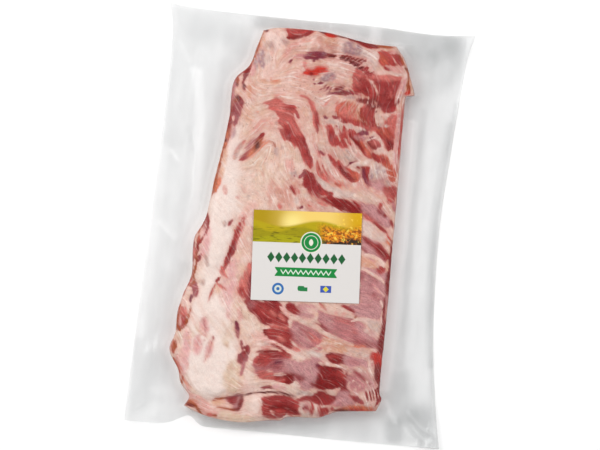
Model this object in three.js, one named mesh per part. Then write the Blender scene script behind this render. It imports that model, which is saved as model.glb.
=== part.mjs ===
// A raw rack of pork ribs, vacuum-packed in a clear pouch with a paper label on top.
//
// Millimetres, +Z up. The pack lies flat: X runs across the pouch, Y along it, and the origin is at the
// middle of its underside. The pouch is a sealed bag that clings to the rack, so it is one closed body:
// the rack's block with its film, and round it the flat margin where both films meet. The label is
// a thin plate on the pouch.

import * as THREE from 'three';
import { mergeVertices } from 'three/addons/utils/BufferGeometryUtils.js';

// Driving dimensions.
const POUCH = { width: 302, length: 402, margin: 0.8 }; // margin is the thickness of the two films as modelled
const RACK = { thickness: 21, edgeRound: 9, edgeDrop: 5.5 }; // thickness of the middle, and the rounded rim
const LABEL = { width: 104, height: 87, thickness: 0.5, x: 7, y: -28, turn: 4.1, gap: 0.35 };
const RIBS = { count: 13, pitch: 27, first: 158, slope: 0.42, halfWidth: 8, rise: 2.1, reach: 105 };
const COLUMNS = 34; // mesh cells across the rack
const ROWS = 66; // mesh cells along the rack

const COLOURS = { pouch: 0xc98078, label: 0xe9e5e2 };

// Outlines seen from above, each side a smooth curve through a few [x, y] points. Left and right run
// from the near end (-Y) to the far end, near and far run from left to right.
const RACK_SIDES = {
  left: [
    [-95, -181], [-91, -171], [-100, -160], [-104, -147], [-114, -129], [-110, -112], [-110, -94],
    [-106, -74], [-100, -55], [-101, -22], [-92, 0], [-87, 40], [-82, 72], [-79, 100], [-78, 132],
    [-65, 148], [-59, 168], [-55, 183],
  ],
  right: [
    [87, -168], [91, -156], [88, -144], [88, -80], [87, -10], [86, 60], [85, 118], [85, 129],
    [93, 136], [88, 151], [82, 166], [72, 180],
  ],
  near: [
    [-95, -181], [-82, -186], [-66, -190], [-40, -191.5], [-14, -185], [4, -181], [20, -180],
    [40, -176], [56, -171], [87, -168],
  ],
  far: [[-55, 183], [-38, 187], [0, 187], [30, 182.5], [48, 180], [72, 180]],
};
const HALF_WIDTH = POUCH.width / 2;
const HALF_LENGTH = POUCH.length / 2;
const POUCH_SIDES = {
  left: [
    [-HALF_WIDTH, -HALF_LENGTH], [-149, -114], [-145, 0], [-142, 100], [-142, 158],
    [-HALF_WIDTH + 4, HALF_LENGTH],
  ],
  right: [
    [HALF_WIDTH, -HALF_LENGTH + 2], [143, -152], [135, -88], [131, 8], [135, 88], [139, 140],
    [HALF_WIDTH - 4, HALF_LENGTH - 3],
  ],
  near: [
    [-HALF_WIDTH, -HALF_LENGTH], [-118, -200], [-101, -194.5], [-90, -193.5], [-78, -198.5],
    [-40, -199.5], [56, -200], [HALF_WIDTH, -HALF_LENGTH + 2],
  ],
  far: [
    [-HALF_WIDTH + 4, HALF_LENGTH], [-122, 198.5], [-22, 197], [42, 198], [106, 195.5],
    [HALF_WIDTH - 4, HALF_LENGTH - 3],
  ],
};

// Ridges and grooves of the rack: a line of [x, y] points, a half width, and a rise above (or, where it
// is negative, a depth below) the block's own surface.
const RELIEF = [
  { line: [[-70, 110], [-80, 10], [-92, -130]], halfWidth: 20, rise: 2.4 }, // the fat shoulder
  { line: [[-42, 118], [-24, 96], [-8, 76], [2, 60]], halfWidth: 8, rise: 1.3 }, // long muscle
  { line: [[-2, 47], [18, 34], [50, 24], [86, 4]], halfWidth: 7, rise: 1.5 }, // muscle above the label
  { line: [[-45, -78], [-20, -90], [-2, -98]], halfWidth: 9, rise: 1.4 }, // muscle below the label
  { line: [[30, -138], [56, -140]], halfWidth: 9, rise: 1.2 },
  { line: [[-32, -132], [2, -142]], halfWidth: 9, rise: 1.2 },
  { line: [[-20, -172], [14, -172]], halfWidth: 8, rise: 1.6 },
  { line: [[-57, 2], [-63, -22], [-75, -54]], halfWidth: 4, rise: -2.4 }, // slits in the fat
  { line: [[-47, 82], [-64, 57]], halfWidth: 4, rise: -1.4 },
  { line: [[-52, -94], [-44, -124], [-42, -145]], halfWidth: 4, rise: -1.5 },
  { line: [[-30, 157], [-12, 163], [10, 166], [34, 162], [56, 150]], halfWidth: 4.5, rise: -2.4 },
  { line: [[-4, 139], [12, 133], [40, 128], [74, 121]], halfWidth: 4.5, rise: -2.3 },
  { line: [[4, 108], [34, 103], [58, 92], [78, 84]], halfWidth: 4.5, rise: -2.1 },
  { line: [[8, 72], [34, 62], [60, 44]], halfWidth: 4.5, rise: -2.1 },
  { line: [[-72, -173], [-42, -164], [-20, -157], [16, -160], [50, -158]], halfWidth: 4.5, rise: -3.2 },
];

const clamp = THREE.MathUtils.clamp;
const smooth = (value, low, high) => THREE.MathUtils.smoothstep(value, low, high);

/** A flat smooth curve through [x, y] points. */
function curveThrough(points) {
  return new THREE.CatmullRomCurve3(points.map(([x, y]) => new THREE.Vector3(x, y, 0)), false, 'centripetal');
}

/** Curves for the four sides of an outline. */
function sideCurves(sides) {
  return Object.fromEntries(Object.entries(sides).map(([name, points]) => [name, curveThrough(points)]));
}

/** A point inside four side curves: s runs from left to right, t from near to far, both 0 to 1. */
function patchPoint(sides, s, t) {
  const [near, far] = [sides.near.getPointAt(s), sides.far.getPointAt(s)];
  const [left, right] = [sides.left.getPointAt(t), sides.right.getPointAt(t)];
  const ruled = near.multiplyScalar(1 - t).add(far.multiplyScalar(t));
  ruled.add(left.multiplyScalar(1 - s)).add(right.multiplyScalar(s));
  const corners = sides.near.getPoint(0).multiplyScalar((1 - s) * (1 - t));
  corners.add(sides.near.getPoint(1).multiplyScalar(s * (1 - t)));
  corners.add(sides.far.getPoint(0).multiplyScalar((1 - s) * t));
  corners.add(sides.far.getPoint(1).multiplyScalar(s * t));
  return ruled.sub(corners);
}

/** Distance from (x, y) to a line of [x, y] points. */
function distanceTo(line, x, y) {
  let least = Infinity;
  for (let k = 1; k < line.length; k += 1) {
    const [ax, ay] = line[k - 1];
    const [bx, by] = line[k];
    const along = ((x - ax) * (bx - ax) + (y - ay) * (by - ay)) / ((bx - ax) ** 2 + (by - ay) ** 2);
    const share = clamp(along, 0, 1);
    least = Math.min(least, Math.hypot(x - ax - share * (bx - ax), y - ay - share * (by - ay)));
  }
  return least;
}

/** 1 under the label, falling to 0 a little outside it. */
function underLabel(x, y) {
  const turn = THREE.MathUtils.degToRad(LABEL.turn);
  const across = (x - LABEL.x) * Math.cos(turn) + (y - LABEL.y) * Math.sin(turn);
  const up = (y - LABEL.y) * Math.cos(turn) - (x - LABEL.x) * Math.sin(turn);
  const outside = Math.max(Math.abs(across) - LABEL.width / 2, Math.abs(up) - LABEL.height / 2);
  return 1 - smooth(outside, 2, 13);
}

/** The bones: parallel swells that run from the right side up towards the fat, fading as they go. */
function ribSwell(x, y) {
  const fromRight = RACK_SIDES.right[3][0] - x;
  const fade = 1 - smooth(fromRight, RIBS.reach * 0.55, RIBS.reach);
  let swell = 0;
  for (let k = 0; k < RIBS.count; k += 1) {
    const middle = RIBS.first - RIBS.pitch * k + RIBS.slope * fromRight;
    swell += Math.exp(-(((y - middle) / RIBS.halfWidth) ** 2));
  }
  return RIBS.rise * fade * swell;
}

/** Height of the rack's upper side, before its rim is rounded. */
function rackHeight(x, y) {
  const ends = 3 * smooth(y, 150, 190) + 4.5 * smooth(-y, 158, 180);
  const sides = 1.5 * smooth(-x, 85, 115) + 1 * smooth(x, 60, 92);
  let relief = ribSwell(x, y);
  for (const { line, halfWidth, rise } of RELIEF) {
    relief += rise * Math.exp(-((distanceTo(line, x, y) / halfWidth) ** 2));
  }
  relief += 0.5 * Math.sin(x * 0.11 + y * 0.05) * Math.sin(y * 0.083 - x * 0.03 + 1);
  const bed = underLabel(x, y);
  return RACK.thickness - ends - sides + relief * (1 - bed) + 1.2 * bed;
}

/** How far the rounded rim lowers the surface, at a share s across and t along the rack. */
function rimDrop(s, t) {
  const across = Math.min(s, 1 - s) * (RACK_SIDES.right[3][0] - RACK_SIDES.left[10][0]);
  const along = Math.min(t, 1 - t) * (RACK_SIDES.far[2][1] - RACK_SIDES.near[3][1]);
  const inward = clamp(Math.min(across, along) / RACK.edgeRound, 0, 1);
  return RACK.edgeDrop * (1 - inward) ** 2;
}

/** Height of the margin's lower film over the surface the pack lies on. */
function marginHeight(x, y, outward) {
  const ripple = 1.3 + 0.8 * Math.sin(x * 0.062 + 0.6) * Math.cos(y * 0.047 - 0.4) + 0.45 * Math.sin(y * 0.11 + x * 0.05);
  const corner = 5 * smooth(Math.hypot(x / HALF_WIDTH, y / HALF_LENGTH), 1.18, 1.42);
  const tuck = 7.5 * Math.exp(-(((x + 90) / 15) ** 2)) * smooth(-y, 184, 196); // the raised wave at the near end
  return 2.4 * (1 - outward) ** 2 + (0.3 + ripple + corner + tuck) * outward;
}

/** The margin and the wall, as rings round the rack: a reach outwards in mm, and a share of the wall's height. */
const WALL_RINGS = [
  { reach: 0.9, share: 0.74 },
  { reach: 1.7, share: 0.4 },
  { reach: 3.6, share: 0.1 },
  { reach: 8, share: 0 },
];
const MARGIN_RINGS = [0.28, 0.62, 1]; // shares of the way from the last wall ring to the pouch's edge
const FOOT_INSET = 3; // how far inside the rack's outline its flat underside ends
const CLOSEST_SHARES = [0.08, 0.15, 0.3, 0.5]; // most of the margin that each wall ring takes where it is narrow

/** The pouch as one closed body. */
function pouchGeometry() {
  const [rack, pouch] = [sideCurves(RACK_SIDES), sideCurves(POUCH_SIDES)];
  const positions = [];
  const triangles = [];
  const addVertex = (x, y, z) => positions.push(x, y, z) / 3 - 1;
  const addQuad = (a, b, c, d) => triangles.push(a, b, c, a, c, d);

  // The upper side of the rack.
  const top = [];
  for (let j = 0; j <= ROWS; j += 1) {
    for (let i = 0; i <= COLUMNS; i += 1) {
      const { x, y } = patchPoint(rack, i / COLUMNS, j / ROWS);
      top.push(addVertex(x, y, rackHeight(x, y) - rimDrop(i / COLUMNS, j / ROWS)));
    }
  }
  const topAt = (i, j) => top[j * (COLUMNS + 1) + i];
  for (let j = 0; j < ROWS; j += 1) {
    for (let i = 0; i < COLUMNS; i += 1) {
      addQuad(topAt(i, j), topAt(i + 1, j), topAt(i + 1, j + 1), topAt(i, j + 1));
    }
  }

  // Round the outline, seen from above anticlockwise: the rim vertex, its place, and the pouch's edge there.
  const rim = [];
  for (let i = 0; i < COLUMNS; i += 1) rim.push({ top: topAt(i, 0), edge: pouch.near.getPointAt(i / COLUMNS) });
  for (let j = 0; j < ROWS; j += 1) rim.push({ top: topAt(COLUMNS, j), edge: pouch.right.getPointAt(j / ROWS) });
  for (let i = COLUMNS; i > 0; i -= 1) rim.push({ top: topAt(i, ROWS), edge: pouch.far.getPointAt(i / COLUMNS) });
  for (let j = ROWS; j > 0; j -= 1) rim.push({ top: topAt(0, j), edge: pouch.left.getPointAt(j / ROWS) });
  for (const post of rim) {
    const [x, y, z] = positions.slice(post.top * 3, post.top * 3 + 3);
    Object.assign(post, { x, y, z, width: Math.hypot(post.edge.x - x, post.edge.y - y) });
  }

  // One ring of vertices: away is each post's share of the way to the pouch's edge, lift gives the height.
  const addRing = (away, lift) => rim.map((post) => {
    const share = away(post);
    const x = THREE.MathUtils.lerp(post.x, post.edge.x, share);
    const y = THREE.MathUtils.lerp(post.y, post.edge.y, share);
    return addVertex(x, y, lift(x, y, post));
  });
  const joinRings = (inner, outer) => {
    for (let k = 0; k < rim.length; k += 1) {
      const next = (k + 1) % rim.length;
      addQuad(inner[k], outer[k], outer[next], inner[next]);
    }
  };
  const wallShare = (index) => (post) => Math.min(WALL_RINGS[index].reach / post.width, CLOSEST_SHARES[index]);
  const lastWall = WALL_RINGS.length - 1;
  const marginShare = (part) => (post) => THREE.MathUtils.lerp(wallShare(lastWall)(post), 1, part);

  // Down the wall and out to the edge over the upper film, then back under the lower film to the foot.
  const upper = [rim.map((post) => post.top)];
  const lower = [];
  WALL_RINGS.forEach(({ share }, index) => {
    upper.push(addRing(wallShare(index), (x, y, post) => {
      const joint = marginHeight(x, y, 0) + POUCH.margin;
      return THREE.MathUtils.lerp(joint, post.z, share);
    }));
  });
  for (const part of MARGIN_RINGS) {
    upper.push(addRing(marginShare(part), (x, y) => marginHeight(x, y, part) + POUCH.margin));
  }
  for (const part of [...MARGIN_RINGS].reverse()) {
    lower.push(addRing(marginShare(part), (x, y) => marginHeight(x, y, part)));
  }
  lower.push(addRing(wallShare(lastWall), (x, y) => marginHeight(x, y, 0)));
  lower.push(addRing((post) => -FOOT_INSET / post.width, () => 0));
  const rings = [...upper, ...lower];
  for (let k = 1; k < rings.length; k += 1) joinRings(rings[k - 1], rings[k]);

  // The flat underside.
  const foot = rings.at(-1);
  const contour = foot.map((v) => new THREE.Vector2(positions[v * 3], positions[v * 3 + 1]));
  for (const [a, b, c] of THREE.ShapeUtils.triangulateShape(contour, [])) {
    triangles.push(foot[a], foot[c], foot[b]);
  }

  const geometry = new THREE.BufferGeometry();
  geometry.setAttribute('position', new THREE.Float32BufferAttribute(positions, 3));
  geometry.setIndex(triangles);
  geometry.computeVertexNormals();
  return geometry;
}

/** The label: a flat plate that lies on the rack's levelled top. */
function labelGeometry() {
  const geometry = new THREE.BoxGeometry(LABEL.width, LABEL.height, LABEL.thickness);
  geometry.deleteAttribute('normal');
  geometry.deleteAttribute('uv');
  return mergeVertices(geometry);
}

/** A named mesh with a matt finish. */
function namedMesh(name, geometry, roughness) {
  const material = new THREE.MeshStandardMaterial({ color: COLOURS[name], roughness, metalness: 0 });
  const mesh = new THREE.Mesh(geometry, material);
  mesh.name = name;
  return mesh;
}

/** Highest point of the pouch under the label. */
function bedHeight(geometry) {
  const position = geometry.getAttribute('position');
  let highest = 0;
  for (let k = 0; k < position.count; k += 1) {
    if (underLabel(position.getX(k), position.getY(k)) > 0.5) highest = Math.max(highest, position.getZ(k));
  }
  return highest;
}

const pouch = namedMesh('pouch', pouchGeometry(), 0.25);
const label = namedMesh('label', labelGeometry(), 0.6);
label.position.set(LABEL.x, LABEL.y, bedHeight(pouch.geometry) + LABEL.gap + LABEL.thickness / 2);
label.rotation.z = THREE.MathUtils.degToRad(LABEL.turn);

// The pack's own frame: the origin at the middle of its underside.
const pack = new THREE.Group();
const content = new THREE.Group();
content.add(pouch, label);
const middle = new THREE.Box3().setFromObject(content).getCenter(new THREE.Vector3());
content.position.set(-middle.x, -middle.y, 0);
pack.add(content);

export default pack;
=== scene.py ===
"""A raw rack of pork ribs, vacuum-packed in a clear pouch, with a paper label on top.

The meat, the film and the label are three pieces that take the place of the two solids of the frame. The
outlines and the layout of the tissues are given in millimetres, in the frame's own X and Y.
"""

import logging
import math
from collections.abc import Callable, Sequence
from dataclasses import dataclass, replace
from enum import Enum, IntEnum
from typing import Any

import bmesh
import bpy
import numpy as np
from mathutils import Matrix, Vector
from mathutils.bvhtree import BVHTree


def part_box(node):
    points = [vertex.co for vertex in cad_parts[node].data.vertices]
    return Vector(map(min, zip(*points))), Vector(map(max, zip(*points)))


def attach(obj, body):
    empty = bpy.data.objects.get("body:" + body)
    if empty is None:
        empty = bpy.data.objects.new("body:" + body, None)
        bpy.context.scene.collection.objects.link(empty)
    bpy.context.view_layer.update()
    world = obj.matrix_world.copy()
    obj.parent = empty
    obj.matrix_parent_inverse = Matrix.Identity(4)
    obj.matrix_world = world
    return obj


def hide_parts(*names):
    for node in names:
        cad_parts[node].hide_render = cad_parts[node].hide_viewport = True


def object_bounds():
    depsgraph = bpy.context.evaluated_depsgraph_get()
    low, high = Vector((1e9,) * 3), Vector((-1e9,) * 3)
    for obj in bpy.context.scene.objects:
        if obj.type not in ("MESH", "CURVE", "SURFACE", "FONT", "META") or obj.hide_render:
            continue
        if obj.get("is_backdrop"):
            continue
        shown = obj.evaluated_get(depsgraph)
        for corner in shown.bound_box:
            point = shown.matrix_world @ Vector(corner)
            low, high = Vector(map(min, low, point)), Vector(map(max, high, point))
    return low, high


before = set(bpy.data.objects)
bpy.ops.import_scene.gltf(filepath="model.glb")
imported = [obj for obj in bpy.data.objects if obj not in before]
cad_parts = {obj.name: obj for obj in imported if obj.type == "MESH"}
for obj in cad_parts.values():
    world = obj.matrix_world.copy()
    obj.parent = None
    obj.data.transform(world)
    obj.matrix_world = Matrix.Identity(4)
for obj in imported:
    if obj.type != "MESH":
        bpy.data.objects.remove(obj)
CAD_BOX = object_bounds()

logging.basicConfig(level=logging.INFO, format="%(message)s")
log = logging.getLogger("rack_of_ribs")

MM = 0.001  # metres in a millimetre

Point = tuple[float, float]
Array = np.ndarray


# ---------------------------------------------------------------- plain maths


def ramp(value: Array, low: float, high: float) -> Array:
    """Smooth step: 0 below low, 1 above high."""
    share = np.clip((value - low) / (high - low), 0.0, 1.0)
    return share * share * (3.0 - 2.0 * share)


def mix(low: Any, high: Any, share: Any) -> Any:
    """Value between low and high at a share of the way."""
    return low + (high - low) * share


def linear(code: str) -> Array:
    """Scene-linear colour of a six-digit sRGB code."""
    channels = np.array([int(code[k : k + 2], 16) / 255 for k in (0, 2, 4)])
    return np.where(channels <= 0.04045, channels / 12.92, ((channels + 0.055) / 1.055) ** 2.4)


def blurred(values: Array, rounds: int) -> Array:
    """Blurs a field with its neighbours.

    Args:
        values: the field, one value for each point of a net.
        rounds: how often it is blurred.

    Returns:
        The blurred field.
    """
    for _ in range(rounds):
        padded = np.pad(values, 1, mode="edge")
        values = (padded[1:-1, :-2] + padded[1:-1, 2:] + 2 * padded[1:-1, 1:-1]) / 4
        padded = np.pad(values, 1, mode="edge")
        values = (padded[:-2, 1:-1] + padded[2:, 1:-1] + 2 * padded[1:-1, 1:-1]) / 4
    return values


def looked_up(values: Array, across: Array, along: Array) -> Array:
    """Reads a net of values between its points.

    Args:
        values: the net, one row for each step along.
        across: places across in steps of the net, one-dimensional.
        along: places along in steps of the net.

    Returns:
        The values at these places.
    """
    i = np.minimum(across.astype(int), values.shape[1] - 2)
    j = np.minimum(along.astype(int), values.shape[0] - 2)
    share_x, share_y = across - i, along - j
    if values.ndim > 2:
        share_x, share_y = share_x[:, None], share_y[:, None]
    near = mix(values[j, i], values[j, i + 1], share_x)
    return mix(near, mix(values[j + 1, i], values[j + 1, i + 1], share_x), share_y)


class Seed(IntEnum):
    """What fixes each pattern of noise."""

    STRANDS = 3
    SWAY_X = 4
    SWAY_Y = 5
    WALL = SWAY_Y
    UNDERSIDE = 6
    STREAKS = 9
    VAGUE = 12
    LUMPS = 14
    BLUSH = 20
    SAND = 21
    WHITE = 22
    BONES = 31
    CREASES = 41
    MOTTLE = 42
    CLING = 43
    PAPER = 51


class Noise:
    """Smooth seeded noise over the plane."""

    CELLS = 256

    def __init__(self, seed: int) -> None:
        """Draws the lattice.

        Args:
            seed: number that fixes the pattern.
        """
        self.lattice = np.random.default_rng(seed).random((self.CELLS, self.CELLS))

    def at(self, x: Array, y: Array, cell: float) -> Array:
        """Noise at points of the plane.

        Args:
            x: places across, in millimetres.
            y: places along, in millimetres.
            cell: size of the noise's features, in millimetres.

        Returns:
            Values from 0 to 1.
        """
        u, v = x / cell, y / cell
        i, j = np.floor(u).astype(int), np.floor(v).astype(int)
        fu, fv = ramp(u - i, 0, 1), ramp(v - j, 0, 1)
        i0, i1, j0, j1 = (k % self.CELLS for k in (i, i + 1, j, j + 1))
        near = mix(self.lattice[j0, i0], self.lattice[j0, i1], fu)
        far = mix(self.lattice[j1, i0], self.lattice[j1, i1], fu)
        return mix(near, far, fv)

    def layered(self, x: Array, y: Array, cell: float) -> Array:
        """Three octaves of noise, from 0 to 1."""
        return (self.at(x, y, cell) + 0.5 * self.at(y, x, cell / 2) + 0.25 * self.at(x, y, cell / 4)) / 1.75


# ---------------------------------------------------------------- outlines


@dataclass(frozen=True)
class Line:
    """A smooth line through a few points, in millimetres."""

    points: tuple[Point, ...]
    closed: bool = False

    COARSE, FINE = 8, 24  # points for each stretch, to draw it and to measure it

    @classmethod
    def through(cls, *places: float, closed: bool = False) -> "Line":
        """The line through points that are given as x, y, x, y and so on."""
        return cls(tuple(zip(places[::2], places[1::2])), closed)

    def sampled(self, steps: int = COARSE) -> Array:
        """Points along the line.

        Args:
            steps: number of points for each stretch between two of its own.

        Returns:
            An array of points, one to a row.
        """
        own = np.array(self.points, float)
        if self.closed:
            before, after = own[-1:], own[:2]
        else:
            before, after = 2 * own[:1] - own[1:2], 2 * own[-1:] - own[-2:-1]
        all_points = np.vstack([before, own, after])
        share = np.linspace(0, 1, steps, endpoint=False)[:, None]
        stretches = []
        for a, b, c, d in zip(all_points, all_points[1:], all_points[2:], all_points[3:]):
            cubic = (-a + 3 * b - 3 * c + d) * share**3
            square = (2 * a - 5 * b + 4 * c - d) * share**2
            stretches.append(0.5 * (cubic + square + (c - a) * share + 2 * b))
        last = own[:1] if self.closed else own[-1:]
        return np.vstack([*stretches, last])

    def at(self, share: Array) -> Array:
        """Points at shares of the line's length.

        Args:
            share: shares from 0 to 1, in any shape.

        Returns:
            Points, with one more dimension than share.
        """
        points = self.sampled(self.FINE)
        run = np.concatenate([[0], np.cumsum(np.hypot(*np.diff(points, axis=0).T))])
        return np.stack([np.interp(share * run[-1], run, points[:, k]) for k in (0, 1)], axis=-1)


@dataclass(frozen=True)
class Outline:
    """Four sides seen from above. Left and right run from the near end to the far end."""

    left: Line
    right: Line
    near: Line
    far: Line

    def at(self, s: Array, t: Array) -> Array:
        """Points inside the outline.

        Args:
            s: shares from the left side to the right.
            t: shares from the near side to the far.

        Returns:
            Points in millimetres, with one more dimension than s.
        """
        near, far, left, right = self.near.at(s), self.far.at(s), self.left.at(t), self.right.at(t)
        s, t = s[..., None], t[..., None]
        corners = [np.array(side.points[end]) for side in (self.near, self.far) for end in (0, -1)]
        ends = mix(mix(*corners[:2], s), mix(*corners[2:], s), t)
        return mix(near, far, t) + mix(left, right, s) - ends


RACK_OUTLINE = Outline(
    left=Line.through(-95, -181, -91, -171, -100, -160, -104, -147, -114, -129, -110, -112, -110, -94,
                      -106, -74, -100, -55, -101, -22, -92, 0, -87, 40, -82, 72, -79, 100, -78, 132,
                      -65, 148, -59, 168, -55, 183),
    right=Line.through(87, -168, 91, -156, 88, -144, 88, -80, 87, -10, 86, 60, 85, 118, 85, 130, 86, 133.6,
                       92.6, 135, 92.8, 138, 88, 151, 82, 166, 72, 180),
    near=Line.through(-95, -181, -82, -186, -66, -190, -40, -191.5, -16, -187, -3, -185.5, 2, -182,
                      14, -180.5, 32, -180, 42, -175.5, 54, -171.5, 87, -168),
    far=Line.through(-55, 183, -38, 187, 0, 187, 30, 182.5, 48, 180, 72, 180),
)
POUCH_OUTLINE = Outline(
    left=Line.through(-151, -201, -149, -114, -145, 0, -142, 100, -141.6, 150, -142.4, 178, -147, 201),
    right=Line.through(151, -199, 143, -152, 135, -88, 131, 8, 135, 88, 138.5, 140, 141.8, 176, 147, 198),
    near=Line.through(-151, -201, -40, -199.8, 56, -200, 151, -199),
    far=Line.through(-147, 201, -122, 198.5, -22, 197, 42, 198, 106, 195.5, 147, 198),
)


# ---------------------------------------------------------------- tissues


@dataclass(frozen=True)
class Recipe:
    """How one kind of tissue looks.

    Attributes:
        code: its colour, as sRGB.
        lean: whether it belongs to the red layer rather than the fat.
        rise: how far it stands above the surface, in millimetres.
    """

    code: str
    lean: bool = False
    rise: float = 0.0


class Tissue(Enum):
    """Kinds of tissue, by the names that a butcher would know; a slit's colour is the deep red meat in it,
    with painted shade.
    """

    CREAM = Recipe("dfbfb0", rise=0.2)
    PALE = Recipe("ecd1c6", rise=0.3)
    WHITE = Recipe("eedbd2", rise=0.35)
    PEARL = Recipe("d8c2b9", rise=0.2)
    SAND = Recipe("d8bba3", rise=0.2)
    FLESH = Recipe("c98f80")
    PEACH = Recipe("d8a588", rise=0.1)
    BLUSH = Recipe("dfa59c", rise=0.15)
    PINK = Recipe("dea6a5", rise=0.1)
    LILAC = Recipe("a78992", rise=0.3)
    ASH = Recipe("b79c96", rise=-0.2)
    ROSE = Recipe("c56960", lean=True, rise=0.1)
    BRICK = Recipe("b4564f", lean=True, rise=0.1)
    RED = Recipe("a13834", lean=True, rise=0.1)
    WINE = Recipe("8c2525", lean=True, rise=0.0)
    DEEP = Recipe("7a0e0e", lean=True, rise=-0.2)
    # the dark of a slit: deep red meat, darkened with painted shade in the gap
    SHADED_SLIT = Recipe("520a09", lean=True, rise=-0.9)
    DUSK = Recipe("b98383", lean=True, rise=0.0)
    MAUVE = Recipe("ae6c6d", lean=True, rise=0.0)
    GRAPE = Recipe("8f3d40", lean=True, rise=-0.1)
    PLUM = Recipe("742839", lean=True, rise=-0.6)
    BLOOD = Recipe("b72212", lean=True, rise=0.0)
    RUST = Recipe("994722", lean=True, rise=-0.1)
    AMBER = Recipe("cb7354", lean=True, rise=0.0)
    EMBER = Recipe("b4523e", lean=True, rise=0.1)
    CLARET = Recipe("76211e", lean=True, rise=-0.3)

    @property
    def tint(self) -> Array:
        """Scene-linear colour."""
        return linear(self.value.code)


(CREAM, PALE, WHITE, PEARL, SAND, FLESH, PEACH, BLUSH, PINK, LILAC, ASH, ROSE, BRICK, RED, WINE, DEEP,
 SHADED_SLIT, DUSK, MAUVE, GRAPE, PLUM, BLOOD, RUST, AMBER, EMBER, CLARET) = Tissue


@dataclass(frozen=True)
class Patch:
    """One stretch of a tissue: a band along a line, or the area inside a closed one.

    Attributes:
        tissue: what it is made of.
        line: its middle line, or its outline.
        half: half width of a band, in millimetres.
        cover: how fully it covers what lies below it.
        soft: width of its faded edge, in millimetres.
    """

    tissue: Tissue
    line: Line
    half: float = 0.0
    cover: float = 1.0
    soft: float = 2.2

    TAPER = 0.55  # share of its width that a band loses towards its ends
    TINY = 1e-9  # mm, least slope that is divided by

    def depth(self, x: Array, y: Array) -> tuple[Array, Array]:
        """How deep points lie inside the patch.

        Args:
            x: places across, one-dimensional.
            y: places along, one-dimensional.

        Returns:
            Depths in millimetres, negative outside, and the nearest stretch's direction.
        """
        points = self.line.sampled()
        start, step = points[:-1], np.diff(points, axis=0)
        length = np.maximum(np.hypot(*step.T), 1e-6)
        dx, dy = x[:, None] - start[None, :, 0], y[:, None] - start[None, :, 1]
        share = np.clip((dx * step[:, 0] + dy * step[:, 1]) / length**2, 0, 1)
        away = np.hypot(dx - share * step[:, 0], dy - share * step[:, 1])
        nearest = away.argmin(axis=1)
        own = np.arange(len(x)), nearest
        least = away[own]
        angle = np.arctan2(step[nearest, 1], step[nearest, 0])
        if self.line.closed:
            over = (start[:, 1] > y[:, None]) != (start[:, 1] + step[:, 1] > y[:, None])
            rise = np.where(np.abs(step[:, 1]) < self.TINY, self.TINY, step[:, 1])
            inside = (over & (dx < dy * step[:, 0] / rise)).sum(axis=1) % 2 == 1
            return np.where(inside, least, -least), angle
        run = (np.cumsum(length)[nearest] - length[nearest] * (1 - share[own])) / length.sum()
        return self.half * (1 - self.TAPER * np.abs(2 * run - 1) ** 3) - least, angle


def band(tissue: Tissue, half: float, *places: float, cover: float = 1.0, soft: float = 2.2) -> Patch:
    """A band of tissue along a line."""
    return Patch(tissue, Line.through(*places), half, cover, soft)


def area(tissue: Tissue, *places: float, cover: float = 1.0, soft: float = 3.0) -> Patch:
    """A field of tissue inside an outline."""
    return Patch(tissue, Line.through(*places, closed=True), 0.0, cover, soft)


def spot(tissue: Tissue, half: float, x: float, y: float, cover: float = 1.0) -> Patch:
    """A small round patch of tissue."""
    return Patch(tissue, Line.through(x - 0.4, y, x + 0.4, y), half, cover)


def fan(tissue: Tissue, half: float, first: Sequence[float], last: Sequence[float], count: int,
        cover: float = 1.0) -> list[Patch]:
    """A row of thin bands.

    Args:
        tissue: what they are made of.
        half: half width of each.
        first: middle line of the first one.
        last: middle line of the last one, with as many points.
        count: how many there are; the others lie evenly between these two.
        cover: how fully they cover what lies below them.

    Returns:
        The bands.
    """
    rows = [[mix(a, b, k / (count - 1)) for a, b in zip(first, last)] for k in range(count)]
    return [band(tissue, half, *row, cover=cover, soft=1.2) for row in rows]


# The large fields that lie under everything else.
BROAD_FIELDS = (
    band(WHITE, 8, -73, 84, -75.5, 40, -79, 0, -80, -45, -84, -84, soft=9),
    band(WHITE, 7, -68, 30, -70, 0, -74, -30, cover=0.6, soft=9),
    area(WHITE, -93, -122, -74, -118, -58, -112, -52, -130, -57, -160, -72, -167, -90, -158, soft=6),
    band(PALE, 6, -90, -84, -72, -88, -64, -76, soft=6),
    Patch(WINE, Line(RACK_OUTLINE.left.points[13:16]), 2, 0.7, 3),
    Patch(WINE, Line(RACK_OUTLINE.right.points[1:4]), 3, 0.8, 3),
    Patch(BRICK, Line(RACK_OUTLINE.right.points[3:5]), 1.6, 0.6, 2.5),
    band(SAND, 5, -63, -98, -60, -116, cover=0.7, soft=6),
    band(SAND, 6, -52, -138, -51, -160, cover=0.8, soft=7),
    band(PALE, 7, -40, 160, -45, 140, -30, 132, cover=0.6, soft=8),
    band(PALE, 5, -3, 182, -6, 176, soft=4),
    band(PALE, 6, 12, 156, 26, 148, cover=0.7, soft=5),
    band(PEARL, 5, 38, 174, 50, 168, 52, 160, soft=4),
    band(CREAM, 7, 14, 92, 26, 78, 44, 70, soft=4),
    area(MAUVE, 0, -89, 12, -92.5, 24, -97, 33, -102, 35, -110, 28, -116, 14, -115, 3, -110, -2, -100),
    area(MAUVE, 20, -79.5, 36, -79.5, 50, -81, 62, -84.5, 70, -89, 80, -97, 85, -108, 74, -110, 60, -107.5,
         47, -103.5, 36, -99, 27, -92, soft=2.5),
    area(DUSK, 44, -72, 60, -69, 84, -68, 84, -80, 70, -80, 58, -80, 50, -76),
    area(DUSK, 60, -2, 86, -22, 87, -60, 84, -72, 62, -70, 60, -40, cover=0.9, soft=4),
    area(DUSK, 3, -74, 18, -73, 22, -79, 18, -87, 6, -88, 1, -82, cover=0.7),
)

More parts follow.
